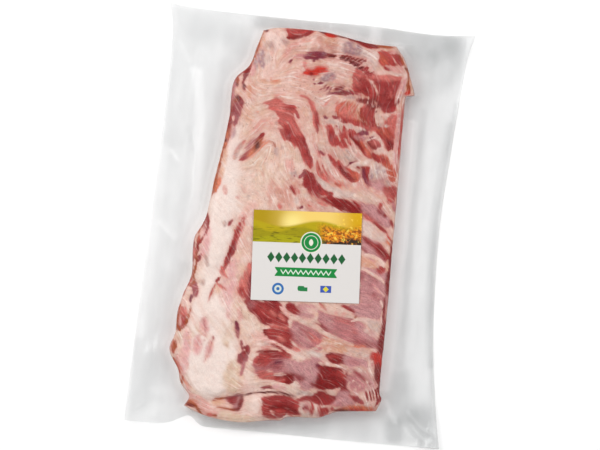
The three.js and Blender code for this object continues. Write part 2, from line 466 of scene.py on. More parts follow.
# Tissue at the narrow end, beyond the first groove.
FAR_END = (
    area(FLESH, -8, 182, 14, 183, 34, 179, 54, 176, 56, 160, 36, 168, 8, 171, cover=0.5, soft=6),
    area(RED, -38, 185.5, -31, 187, -8, 187.8, -10, 183.5, -17, 180, -25, 177, -33, 177.5, -32, 182),
    band(DEEP, 1, -33, 178, -27, 177.8, -19, 180),
    band(WINE, 1.5, -16, 181, -10, 186),
    band(SHADED_SLIT, 0.9, -2, 187, 5, 186, 12, 184.8, 22, 184, 32, 182.3),
    band(BLOOD, 1.6, 4, 184.6, 9, 183.4, 14, 183.6),
    band(PEACH, 3, 2, 179.5, 18, 181, cover=0.5, soft=4),
    area(WHITE, 22, 181, 38, 181, 52, 175, 57, 166, 58, 156, 50, 158, 42, 168, 30, 168, 21, 172, cover=0.8,
         soft=4),
    band(SAND, 1.7, 54, 175.4, 62, 175.6, 70, 177),
    band(BLOOD, 2, 33, 180, 42, 177.8, 54, 176.6, cover=0.8, soft=2.5),
    band(DEEP, 2.2, 27, 182.6, 38, 180.2, 50, 178, 58, 178),
    band(RUST, 1, 56, 178.2, 63, 178.6, 71, 179.4),
    area(LILAC, 24, 177, 30, 179.5, 36, 177.5, 38, 171, 31, 168, 25, 170, soft=4),
    band(LILAC, 1.8, 42, 170, 49, 161, cover=0.45, soft=4),
    area(RED, 57, 173.5, 64, 175, 70, 175.5, 77, 172, 79.5, 164, 78, 160, 70, 158, 64, 159.5, 57, 162),
    area(EMBER, 58, 172, 63, 172, 66, 167, 65, 162, 59, 163, cover=0.35, soft=4),
    *fan(BLUSH, 0.5, (57, 163, 60, 158), (68, 162, 70, 156), 4, 0.7),
    band(PINK, 1.6, 66, 173, 72, 174, cover=0.7),
    band(WINE, 2.4, 73, 170, 78, 163, soft=3),
    band(BLUSH, 0.7, 68, 170, 73, 165, 77, 161, cover=0.8),
    band(BLUSH, 1.2, 64, 160, 72, 159, 80, 160),
    band(WINE, 1.3, 63, 158, 70, 156.5),
    band(PINK, 1.4, 69, 157.5, 80, 157),
    band(RUST, 0.8, 77, 173, 80.5, 166, 84, 160.5, 85.6, 152, 86, 140),
    band(PALE, 0.6, 76, 176, 81.6, 166, 85.6, 157),
    band(SHADED_SLIT, 0.9, 82.5, 159.8, 87, 158.8),
    band(RUST, 0.8, 85.5, 158, 86.8, 150, 87.8, 140, 87.5, 137),
    band(SAND, 2.2, 89, 150, 91, 143, 91.5, 138, cover=0.8),
    band(WHITE, 1.6, 85, 155, 84.5, 146),
    band(WHITE, 2, 82, 148, 80.5, 132, cover=0.6, soft=3),
    band(LILAC, 2, 81.5, 146, 79.5, 132, cover=0.9, soft=3),
    band(PINK, 0.8, 84, 149, 80, 140, 77, 128),
    area(DEEP, 82.5, 134.6, 87, 135, 90, 136.2, 89.6, 140, 88, 144, 87, 139, soft=1.6),
    band(BLOOD, 1, 85, 136, 88.5, 137.5),
    area(WHITE, -50, 181, -40, 183, -35, 178, -38, 170, -48, 168, -53, 174, soft=6),
    band(LILAC, 3.6, -55, 162, -53.5, 149, soft=3),
    band(LILAC, 2, -58.5, 158, -60, 146, cover=0.7, soft=3),
    band(PEARL, 2.6, -49, 158, -48.5, 152, soft=3),
    band(ASH, 2.2, -36, 175, -33, 171, cover=0.6, soft=4),
    band(ASH, 2.5, -51, 171, -46, 168, cover=0.6, soft=4),
    band(SHADED_SLIT, 1.5, -54.5, 183, -51, 182.5),
    band(SAND, 1.2, -57.5, 183, -57, 178),
    band(RUST, 0.8, -55.5, 180, -58, 170, -61, 158, -64, 150, -67, 144),
    band(PEACH, 1.6, -55, 177, -56.5, 168, cover=0.8),
    band(BLUSH, 1.2, -33, 161, -28, 169, -16, 177, soft=3),
    band(MAUVE, 2.2, -24, 160.5, -16, 162, -8, 164, cover=0.7, soft=3.5),
    band(PLUM, 1, -27.5, 154.5, -25.5, 157.5),
    band(ASH, 1, -22, 157, -14, 159, cover=0.6),
    area(PLUM, -12, 163, -6, 167.5, 3, 168.6, 7, 166.4, 6, 162, -2, 159.6, -9, 160),
    band(DEEP, 1.3, -8, 163, 0, 163.6, cover=0.6, soft=3),
    spot(PLUM, 1, -4.5, 158.2),
    band(PLUM, 1, -13.5, 160.5, -10, 160),
    band(CLARET, 2.3, 7, 164.5, 15.5, 165.5),
    *fan(SHADED_SLIT, 0.5, (9, 163, 12, 166), (13, 163.5, 16, 166), 3),
    band(CLARET, 3.2, 20, 163.5, 26, 164.4, 32, 165),
    band(CLARET, 3.6, 30, 162.5, 36, 162.5, 43, 163),
    band(DEEP, 1, 22, 162, 30, 161.6, 38, 159.8, cover=0.7),
    band(GRAPE, 1.2, 32, 159, 39, 158.6),
    band(WINE, 2.6, 37, 155.4, 43, 155.4, 50, 157),
    band(DEEP, 1.8, 45, 150.8, 50, 151.3, 55.5, 153.3),
    *fan(SHADED_SLIT, 0.6, (20, 162.5, 24, 165.5), (38, 155, 43, 157.5), 5),
    *fan(BLUSH, 0.35, (21.5, 164, 26.5, 169), (38, 160.5, 44, 165.5), 6, 0.8),
    *fan(BLUSH, 0.4, (38, 156.5, 41, 159), (47, 154.5, 52, 158.5), 3),
    *fan(PALE, 0.3, (48, 151.4, 52, 154), (52.5, 151.8, 57, 154.6), 2),
    band(PEARL, 2.2, 53, 158, 61, 156.4),
    band(PALE, 1.3, 57, 153.4, 69, 153.8, 81, 153),
)

# Tissue between the first two grooves, with the large red wedge.
SECOND_ROW = (
    area(ROSE, -15, 146, -8, 142.6, 0, 144, 10, 149, 6, 154, -5, 153, -12, 150, cover=0.6, soft=4),
    band(BLOOD, 2.2, -13, 146, -6, 147, 0, 149.4, 8, 151.6, cover=0.9, soft=4),
    spot(DEEP, 1.3, -6.5, 145.2),
    band(ROSE, 1.6, -14, 157, -12.5, 151, cover=0.8, soft=3),
    area(LILAC, 4, 143, 8, 147, 13, 148, 17, 145, 13, 142, 7, 141.5),
    band(PLUM, 0.6, 12, 143, 15.5, 146),
    spot(PLUM, 1.1, -3, 141),
    spot(PLUM, 1.2, -2, 136.5),
    band(PLUM, 1.3, 2, 137, 6, 138.5),
    *fan(PLUM, 0.6, (7, 133, 9.5, 137), (12.5, 131, 14.5, 134.5), 3),
    *fan(PLUM, 0.5, (3, 131, 6, 133), (10, 127, 14, 130), 3, 0.8),
    band(CLARET, 2.2, 17, 133, 22, 134.5, 28, 136.5),
    band(PEACH, 0.5, 14, 131, 22, 132.4, 28, 134),
    band(PLUM, 1.6, 12, 128.5, 20, 130.6, 30, 131.2, 42, 130.6),
    band(CLARET, 1.6, 21, 129.4, 32, 130),
    band(ASH, 0.9, 29, 126.6, 37, 127.2),
    area(RED, 33, 152, 40, 153, 43, 149, 50, 149, 62, 150.5, 79, 151, 79.5, 147, 77, 140, 76, 132, 77, 125,
         66, 122.5, 57, 124.5, 47, 129.5, 37, 134, 33.5, 142),
    area(BRICK, 34, 151, 40, 152, 43, 147, 42, 139, 36, 136.5, 34, 142),
    band(WINE, 2.4, 42, 146, 45, 141, 49, 138, cover=0.6, soft=3),
    area(WINE, 48, 148, 56, 147.5, 66, 147, 78, 149.5, 77, 141, 75, 133, 66, 131, 60, 134, 56, 140, 50, 144,
         cover=0.7, soft=5),
    band(ROSE, 1.2, 54, 149.4, 68, 149, 78, 150.2, soft=3),
    band(DEEP, 2.6, 58, 130, 66, 127, 75, 126, cover=0.5, soft=3),
    band(DEEP, 1.1, 37, 137, 48, 133.5, 57, 128, 65, 123.6, 74, 122.8, 80, 128, cover=0.9),
    band(RED, 2.6, 44, 132.5, 56, 127.5, 64, 124.5, soft=3),
    band(PEACH, 0.8, 38, 133, 50, 128.6, 60, 123.2, cover=0.6),
    *fan(ROSE, 0.5, (50, 147, 58, 139, 66, 130), (68, 147, 74, 140, 76, 131), 4, 0.35),
    *fan(ROSE, 0.5, (42, 150, 46, 144), (50, 149, 55, 143), 3, 0.5),
    band(BLUSH, 0.7, 46, 147, 52, 143.5, 57, 137, 60, 131),
    spot(PALE, 0.8, 53, 144),
    spot(PALE, 0.8, 55, 140),
    area(WINE, 62, 124, 68, 125, 76, 124.5, 76, 118.5, 71, 115, 65, 117),
    band(DEEP, 1.2, 79, 130, 78, 124.5, cover=0.8),
    band(PINK, 0.8, 76.6, 131, 76.8, 125),
    band(PEACH, 2.1, -42, 134.5, -36, 136.5, soft=3),
    band(AMBER, 1, -41, 135.5, -37, 136.5, cover=0.4, soft=3),
    spot(PEACH, 1.8, -49, 134.5, cover=0.7),
    band(RED, 2.4, -63.5, 149, -66.5, 142, -69, 135),
    band(DEEP, 1.2, -65.5, 146, -68, 138, -69.8, 131),
    band(PINK, 1.1, -61.5, 147, -62, 140, soft=3),
    band(RUST, 1.8, -75.5, 134, -75, 127),
    spot(SHADED_SLIT, 1, -75, 129),
    band(GRAPE, 2.2, -69.5, 130, -67.5, 124),
    spot(SHADED_SLIT, 1, -68.5, 128),
    band(PEACH, 1.6, -63, 128, -63, 119, soft=3),
    band(MAUVE, 1, -78, 134, -78, 106, cover=0.8),
)

# Tissue from the second groove down to the long muscle.
THIRD_ROW = (
    area(EMBER, 20, 121, 27, 122, 34, 120, 37, 113, 40, 106, 32, 104.5, 25, 107.5, 20.5, 113),
    area(EMBER, 34, 121, 42, 122, 46, 116, 43, 110, 37, 108, 34, 114, cover=0.45, soft=4),
    area(BRICK, 43, 119, 57, 118.5, 60, 108, 64, 99, 52, 97.5, 40, 101.5, 42, 110),
    band(RED, 2.2, 28, 107, 36, 105, 46, 101.5, soft=3),
    *fan(RUST, 0.6, (31, 121, 32, 114, 36, 107), (43, 121, 46, 111, 54, 102), 5, 0.5),
    *fan(ROSE, 1.2, (23, 120, 25, 114, 30, 108), (38, 120, 39, 113, 42, 107), 4, 0.8),
    *fan(PEACH, 0.5, (29.5, 122, 30.5, 116, 34, 109), (42, 121, 44.5, 111, 52, 102), 6, 0.8),
    *fan(WINE, 1, (45, 118, 46, 109, 52, 100), (56, 118, 57, 110, 60, 103), 4, 0.6),
    *fan(BLUSH, 0.4, (47, 118.5, 48.5, 109, 55, 100), (58, 117, 60, 110, 62, 103), 4, 0.6),
    band(CLARET, 1.9, 39.5, 125, 45, 126, 50, 125.6),
    area(CLARET, 49, 126.5, 57, 126.5, 62, 124, 61, 119.5, 54, 118.5, 50, 121),
    *fan(BLUSH, 0.4, (50, 125, 52, 120), (58, 125, 59, 120), 3),
    band(CREAM, 1.4, 59, 119, 59.5, 111, 61, 104),
    spot(SHADED_SLIT, 1.1, 59.5, 116),
    band(PALE, 2, 61, 112, 68, 113, 73, 115),
    spot(RUST, 1.3, 61.5, 105),
    spot(PLUM, 0.9, 63.5, 102),
    area(BRICK, 70, 112, 79, 114, 79.5, 100, 79.5, 90, 76, 81, 71, 81, 69, 88, 63, 96, 62, 101, 66, 104),
    band(ROSE, 3, 75, 110, 76, 102, cover=0.3, soft=5),
    *fan(EMBER, 1.4, (63, 99, 70, 92), (68, 102, 77, 94), 3),
    *fan(WINE, 0.5, (62, 97, 70, 90), (70, 102, 78, 93), 4, 0.8),
    band(DEEP, 2.6, 73, 89, 77, 85, 74, 82),
    band(ASH, 1.2, 68, 103, 72, 104),
    area(PEARL, 8, 104, 13, 101, 20, 99, 28, 100, 36, 101, 48, 98, 52, 95, 42, 94.5, 34, 96, 25, 103,
         18, 106, soft=2),
    band(PLUM, 1.7, 9, 108, 12, 105, 14, 107, cover=0.9),
    band(GRAPE, 1.3, 17, 107.6, 23.5, 106.5),
    band(WINE, 1.5, 26, 103.3, 32, 103.5),
    spot(PLUM, 0.9, 23, 99),
    band(PLUM, 2, 43, 92.8, 49, 94.3, 55, 94),
    band(DUSK, 1.4, 42, 89.5, 48, 89, 54, 90.5, cover=0.8),
    area(GRAPE, 53, 86, 57, 89.6, 63, 89, 67.5, 84, 65, 79.6, 59, 79.4, 55, 81.5),
    band(BRICK, 2.6, 57, 87, 64, 84, cover=0.7, soft=4),
    band(CLARET, 1.6, 54, 85, 58, 81.5, 63, 80.5, soft=3),
    band(WHITE, 0.5, 54.5, 88, 61, 91.5),
    band(PLUM, 0.5, 55, 90, 60.5, 93),
    area(ROSE, 14, 99, 30, 97, 40, 90, 42, 83, 36, 78, 20, 79, 13, 90, cover=0.6, soft=5),
    area(RED, 14.5, 97, 20, 96, 25, 88, 27, 81.5, 19, 81, 15, 89),
    band(WINE, 2.2, 17.5, 92, 19.5, 86, soft=3),
    area(RED, 25, 97, 30, 93.5, 36, 88, 39, 82, 36, 79, 28, 80, 26.5, 88),
    band(CREAM, 0.7, 21.5, 95.5, 25, 90, 28, 84),
    *fan(ASH, 0.5, (22, 98, 27, 91), (25, 98.5, 30, 92), 2),
    area(RED, 29, 99, 40, 95, 48, 88, 54, 83, 60, 77, 61, 71, 57, 70, 51, 75, 44, 82, 37, 90),
    band(EMBER, 1.6, 44, 88, 51, 82, 57, 75, soft=3),
    band(DEEP, 1.2, 36, 92, 44, 84, 53, 75, cover=0.8),
    band(BLUSH, 0.6, 50, 86, 56, 80, 60, 75),
    *fan(BLUSH, 0.6, (34, 91, 43, 80, 51, 71), (31, 88, 39, 78, 47, 70), 2),
    *fan(ASH, 0.7, (26, 79, 36, 70, 42, 65), (40, 78, 48, 71, 53, 67), 3, 0.5),
    area(EMBER, 59, 77, 66, 74.5, 74, 75.5, 78, 68, 83, 60, 84, 52, 78, 51.5, 73, 60, 69, 66, 64, 67.5,
         60, 73),
    band(WINE, 1.3, 60, 76, 66, 69),
    band(RED, 1.6, 67, 73, 72, 69),
    *fan(PALE, 0.5, (70, 64, 80, 61), (73, 58, 83, 55), 2),
    band(WHITE, 2, 82, 82, 82.5, 66, soft=3),
    band(PINK, 1.9, 81.5, 116, 81, 100, 82, 84, 82, 64),
    band(RED, 0.8, 84.6, 130, 84.4, 100, 84.6, 60, cover=0.9, soft=1.4),
    band(ROSE, 1.4, -2.8, 119, 0.5, 111, 2, 100, 4, 95),
    band(WINE, 1.5, 2.5, 110, 4.5, 100, 5.6, 90),
    band(BRICK, 0.9, -14, 124.6, -7, 122.5, -3.5, 117, -1, 111),
    spot(PEACH, 1.6, -17, 127),
    band(BLUSH, 1.4, 7, 69, 4, 78, 2, 88, cover=0.7),
    band(PLUM, 1.7, 8.5, 73, 13.5, 71),
    area(BRICK, 7.5, 69, 12, 68, 17, 60, 24, 50, 20, 45, 12, 48, 8, 56, cover=0.8, soft=5),
    *fan(CREAM, 0.6, (9, 66, 12, 58, 18, 50), (14, 68, 20, 59, 28, 51), 3, 0.8),
    *fan(WINE, 0.5, (8, 63, 12, 54, 16, 49), (13, 66, 18, 58, 26, 49), 3, 0.7),
    band(EMBER, 1.6, 11, 61, 14, 54, 19, 51, cover=0.6, soft=4),
    area(ROSE, 18, 56, 26, 50, 36, 46, 41, 42, 30, 41, 20, 46, 15, 50, cover=0.6, soft=6),
    band(EMBER, 1.4, 26, 45, 31, 43, cover=0.6, soft=3),
    area(BLUSH, 10, 70, 22, 70, 34, 60, 44, 50, 50, 44, 38, 42, 22, 48, 10, 58, cover=0.5, soft=8),
    area(RED, 18, 70.5, 25, 67.5, 33, 62, 41, 59, 48, 57, 50, 51, 45, 46.5, 38, 49.5, 31, 55, 23, 62),
    area(EMBER, 39, 58, 47, 57, 50, 51, 46, 49, cover=0.8, soft=5),
    band(DEEP, 1.4, 30, 60, 37, 54, 43.5, 48.5),
    band(PEARL, 2.2, 14, 68, 19, 63, 22, 58, soft=3),
    *fan(BLUSH, 0.5, (21, 60, 28, 53, 35, 47), (17, 57, 23, 50, 30, 44), 2, 0.8),
    band(PLUM, 0.6, 36.5, 62, 41, 65.5, 46, 67.6),
    band(WHITE, 1.2, 42, 63.5, 50, 65.5, 58, 69),
    band(WINE, 0.9, 46.5, 61.5, 52, 62),
    area(WINE, 51, 62, 55, 64, 58.5, 64, 58, 57, 60, 50, 62, 45, 58.5, 44, 54, 50, 51, 56),
    band(RED, 1.3, 55, 62, 57, 58),
    band(PLUM, 0.8, 52.5, 60, 53, 54, 57, 48),
    area(PEARL, 61, 66, 68, 67.5, 73, 62, 72, 53, 62, 50, 59, 57, soft=2),
    area(DUSK, 62, 51, 71, 54, 76, 49, 75, 41, 69, 41, 62, 46, cover=0.75, soft=5),
    band(LILAC, 0.8, 59.5, 60, 61, 52, cover=0.7, soft=3),
    area(LILAC, 60, 64, 68, 66, 73, 60, 73, 50, 64, 50, cover=0.35, soft=5),
    band(BLUSH, 1.6, 66, 40, 72, 37, soft=3),
    area(RED, 74, 43, 79, 46, 85, 46.5, 86, 38, 84.5, 31, 79, 30, 77, 36),
    band(BRICK, 1.6, 77, 42, 80, 35, soft=3),
    *fan(BLUSH, 0.5, (79, 36, 84, 33), (80, 32, 85, 29), 2),
    band(PEARL, 3, 7, 49, 13, 43.5, 21, 38.5, 29, 35.5, 38, 34.5, 46, 34, soft=3),
    band(PALE, 1.5, 62, 79, 70, 80, 74, 77.5),
    band(ASH, 1.1, 74, 52, 79, 47, cover=0.7),
)

# The long muscle, the fat on the left and its slits.
UPPER_LEFT = (
    area(BRICK, -50, 113.5, -43, 117.5, -38, 121.5, -32, 120, -26, 115.5, -19, 115, -15.5, 110, -14, 100,
         -9, 89, -2, 76, 3.5, 66, 5, 58.5, 1.5, 56, -4, 61, -10, 71, -15, 77.5, -21, 80, -26, 81.5,
         -29.5, 89, -31.5, 98, -38, 106, -43, 110, soft=2),
    band(RED, 3.2, -24, 92, -20, 84, -12, 80, -5, 70, 1, 60, soft=3),
    band(WINE, 2.6, -24, 89, -21, 83, cover=0.8, soft=3),
    band(WINE, 2, -8, 86, -1, 74, 3, 63, soft=2.5),
    band(RED, 2.2, -25, 113, -19, 111, soft=3),
    band(ROSE, 2, -44, 113, -36, 114, -30, 109, cover=0.7, soft=3),
    band(BLUSH, 1.2, -36, 120, -28, 117, -22, 116.5, cover=0.6),
    spot(BLUSH, 1.5, -24, 97),
    band(BLUSH, 0.9, -18.5, 108, -16, 101, -12, 94),
    band(GRAPE, 1.5, -16, 108, -14, 103, cover=0.8),
    band(PALE, 2.6, -4, 84, 4, 70, 6, 60, soft=3),
    area(GRAPE, -76, 119, -70, 117.5, -67, 111, -69, 100, -73, 88, -78, 74, -82, 76, -79, 92, -77.5, 106,
         cover=0.8),
    band(WINE, 2.3, -72.8, 117, -70.5, 113, -69.5, 109),
    band(SHADED_SLIT, 1.3, -74, 117, -73, 112, cover=0.8),
    band(GRAPE, 1.6, -69, 114, -68, 110),
    band(RUST, 3, -75.5, 113, -77.5, 104, -79, 94, -81, 84, -83, 75),
    band(WINE, 1.8, -75, 111, -76.5, 103, -77.5, 94, -79.5, 86),
    band(GRAPE, 3, -73.5, 109, -72.5, 101, -73, 92),
    band(PINK, 1.3, -75.6, 99, -75.8, 94),
    band(LILAC, 1.9, -76, 89, -75, 84, -75.5, 79, cover=0.8, soft=3),
    band(SHADED_SLIT, 1.8, -83.5, 73.5, -81, 72.5, -81.5, 69, -82.5, 67),
    spot(AMBER, 1, -80, 71),
    band(RUST, 1, -82, 69, -83.5, 56, -85.5, 42, -88, 29),
    band(PEACH, 2, -80.5, 66, -81.5, 50, -83, 38, cover=0.8, soft=3),
    band(AMBER, 2, -82, 39, -85, 30, -87, 25, soft=3),
    band(RUST, 0.9, -88, 28, -90.5, 18, cover=0.9),
    band(BRICK, 2.8, -64, 57.5, -58, 64, -52, 71, -49, 78, -46.5, 84, soft=4),
    band(GRAPE, 2.2, -64, 58, -60, 61.5, -57.5, 65, soft=3),
    band(MAUVE, 2.4, -61, 68, -57, 75, -52, 80, cover=0.7, soft=4),
    band(AMBER, 2.4, -56, 62, -50, 70, -44, 76, -39, 78.5, cover=0.9, soft=4),
    band(RUST, 1.8, -52, 69, -50, 75, -47.5, 80, soft=3),
    band(SHADED_SLIT, 0.9, -50.5, 71, -50, 75.5),
    band(WINE, 2.2, -48.5, 81.5, -46, 84, soft=3),
    band(ROSE, 1.4, -71.5, 59, -68, 68, -62, 77, cover=0.6, soft=3.5),
    band(ASH, 1, -70.5, 59.5, -69, 65, -65, 73, cover=0.9),
    band(RUST, 0.7, -38, 77.6, -35, 76.5, -32.5, 72, cover=0.8),
    band(ASH, 1, -32, 72, -31, 66, cover=0.6),
    spot(AMBER, 2.4, -53, 104.5, cover=0.6),
    spot(AMBER, 2.4, -62, 125, cover=0.6),
    spot(AMBER, 1.8, -44, 137, cover=0.7),
    spot(AMBER, 1.6, -51, 134.5, cover=0.6),
    band(AMBER, 2.2, -78.5, 78, -76, 88, cover=0.3, soft=4),
    band(PEACH, 2.4, -64, 104, -60, 99, cover=0.5, soft=5),
    band(BLUSH, 2.4, -54, 86, -47, 95, -38, 94, cover=0.5, soft=5),
    spot(ASH, 1.5, -34, 95, cover=0.6),
    spot(ASH, 1.3, -57, 48, cover=0.6),
    spot(ASH, 1.3, -27, 73, cover=0.5),
    band(BLUSH, 1.3, -77, 31, -76, 25),
    spot(BLUSH, 1.4, -64, 22),
    spot(ASH, 1.1, -54, 23, cover=0.6),
)

# The dark muscle above the label and what lies round it.
ABOVE_LABEL = (
    band(WHITE, 3.6, 48, 34, 58, 33, 68, 29, soft=4),
    band(CREAM, 3, 50, 36, 58, 34, 68, 28, soft=4),
    area(WINE, -3.5, 51.5, 1, 53.8, 5, 51, 9, 44.5, 15, 39, 21, 35.8, 25, 34.5, 27, 31, 33, 30.3, 42, 30,
         52, 28, 58, 24, 58, 19, 50, 17, 40, 17.5, 30, 19, 24, 22, 18, 25.5, 12, 27.5, 10, 30.2, 4, 31,
         0, 36.5, -6.5, 40, -4, 45),
    band(DEEP, 3.2, 26, 26, 38, 24, 52, 21, cover=0.6, soft=4),
    band(RED, 1.6, 14, 31, 20, 33, cover=0.8, soft=3),
    band(BLUSH, 0.7, 15, 30.3, 21.5, 32, cover=0.8),
    band(GRAPE, 1, -3, 51, -6, 48, -8.5, 45.5),
    band(ASH, 2.3, -15, 50, -11, 48.3, soft=2.5),
    band(PLUM, 1.2, -12, 48.5, -12.5, 47, cover=0.6),
    spot(RUST, 1.1, -16, 54.5, cover=0.7),
    band(BLUSH, 2.2, -19, 60, -16, 54, cover=0.7, soft=4),
    area(BRICK, -20, 39.5, -14, 39.5, -8, 37, -6, 32, -8.5, 28, -12, 30, -15, 35),
    band(WINE, 1.3, -16, 37.5, -13.5, 34, -11.5, 31),
    band(BLUSH, 1.6, -18, 42, -8, 41, cover=0.7),
    band(ASH, 1.3, -9, 26, -8, 22.5, cover=0.8),
    band(PLUM, 1.3, -7, 19, -4.5, 16, cover=0.8),
    band(PLUM, 1.2, -4, 17.5, -1, 20, cover=0.9),
    band(ROSE, 2.6, -24.5, 20, -21.5, 15, soft=3),
    band(BRICK, 1.4, 3, 22, 7, 20.6),
    band(BLUSH, 1.2, 1, 26, 8, 21, 14, 17),
    band(ROSE, 1.2, 10, 26.5, 16, 24, 22, 22, cover=0.7),
    band(PALE, 2, 14, 20, 24, 21, soft=3),
    area(DUSK, 53, 28, 62, 28, 70, 26, 78, 20, 83, 13, 82, 7, 72, 11, 62, 17, 57, 20),
    band(GRAPE, 1.2, 59, 18.6, 66, 15, 73, 11, cover=0.5, soft=4),
    spot(LILAC, 1.8, 57, 20, cover=0.6),
    band(BRICK, 1.9, 57, 17.5, 63, 13, 70, 8.5, 78, 4, 82, 1),
    band(WINE, 1, 68, 10, 75, 5.5, 80, 3),
    band(BLOOD, 1.7, 82.5, -1, 85, -4, cover=0.8),
    band(AMBER, 1.3, 80, -6, 85, -8, cover=0.7),
    area(PEARL, 59, 12, 66, 9, 74, 3, 80, -3, 76, -6, 66, -5, 58, -1, 58, 6, soft=2.5),
    band(WINE, 1.2, 58, -3, 64, -8, 70, -11),
    area(WINE, 65, -8.5, 71, -10, 76, -10.5, 80, -14.5, 86.5, -18, 87, -22, 82, -24, 76, -19, 70, -13),
    band(DEEP, 1.3, 74, -14, 81, -19),
    band(GRAPE, 0.9, 58, -14, 64, -19, cover=0.7),
    band(PALE, 1.4, 58, -20.5, 66, -21, 75, -23.5, 82, -28),
    band(PALE, 1.5, 80, -26, 84, -32, cover=0.8),
    area(PEACH, 59, -22, 68, -23, 78, -27, 84, -36, 74, -34, 60, -32, cover=0.75, soft=5),
    area(RED, 75, -31.5, 79, -30.4, 82.5, -31.5, 82, -34.5, 78.5, -37, 75.5, -35, soft=1.8),
    band(PALE, 2.2, 78, -27, 84, -30, soft=3),
    band(PALE, 1.6, 60, -34, 68, -37, 77, -41, 83, -45),
    band(GRAPE, 1.2, 60, -38.5, 68, -40, 75, -44.5, cover=0.5),
    area(MAUVE, 60, -40, 70, -43, 84, -48, 84, -70, 72, -70, 61, -68, cover=0.45, soft=5),
    band(PINK, 1.2, 74, -50, 79, -54, 84, -57, cover=0.8, soft=3),
    *(spot(PALE, 1.6, x, y, 0.6)
      for x, y in ((65, -44), (66, -52), (84, -58), (71, -63), (78, -60), (64, -62))),
    *(spot(GRAPE, 1.5, x, y, 0.5) for x, y in ((71, -49), (78, -66), (62, -42), (74, -57), (70, -67))),
    band(PALE, 1.2, 81, -62, 85, -70, cover=0.8),
    band(WINE, 0.8, 44, -71, 50, -72.5, 57, -76),
    band(RED, 1.8, 71, 24, 73.5, 30),
    band(GRAPE, 1.1, 70.5, 22, 74, 20, cover=0.9),
    spot(WINE, 1.1, 77.5, 18.5),
    band(WINE, 1, 84, 14, 86, 8, cover=0.9),
    band(MAUVE, 1.4, 84.5, 30, 85.5, 24),
    band(DEEP, 0.7, 86.2, -4, 86.8, -20, 86.6, -36),
    band(DEEP, 1.3, 86.4, -36, 86.8, -56),
    band(PEACH, 1.4, 84, -24, 85, -34, cover=0.7),
    area(FLESH, -34, 40, -20, 44, -2, 38, 16, 28, 18, 17, -6, 16, -30, 18, cover=0.5, soft=8),
)

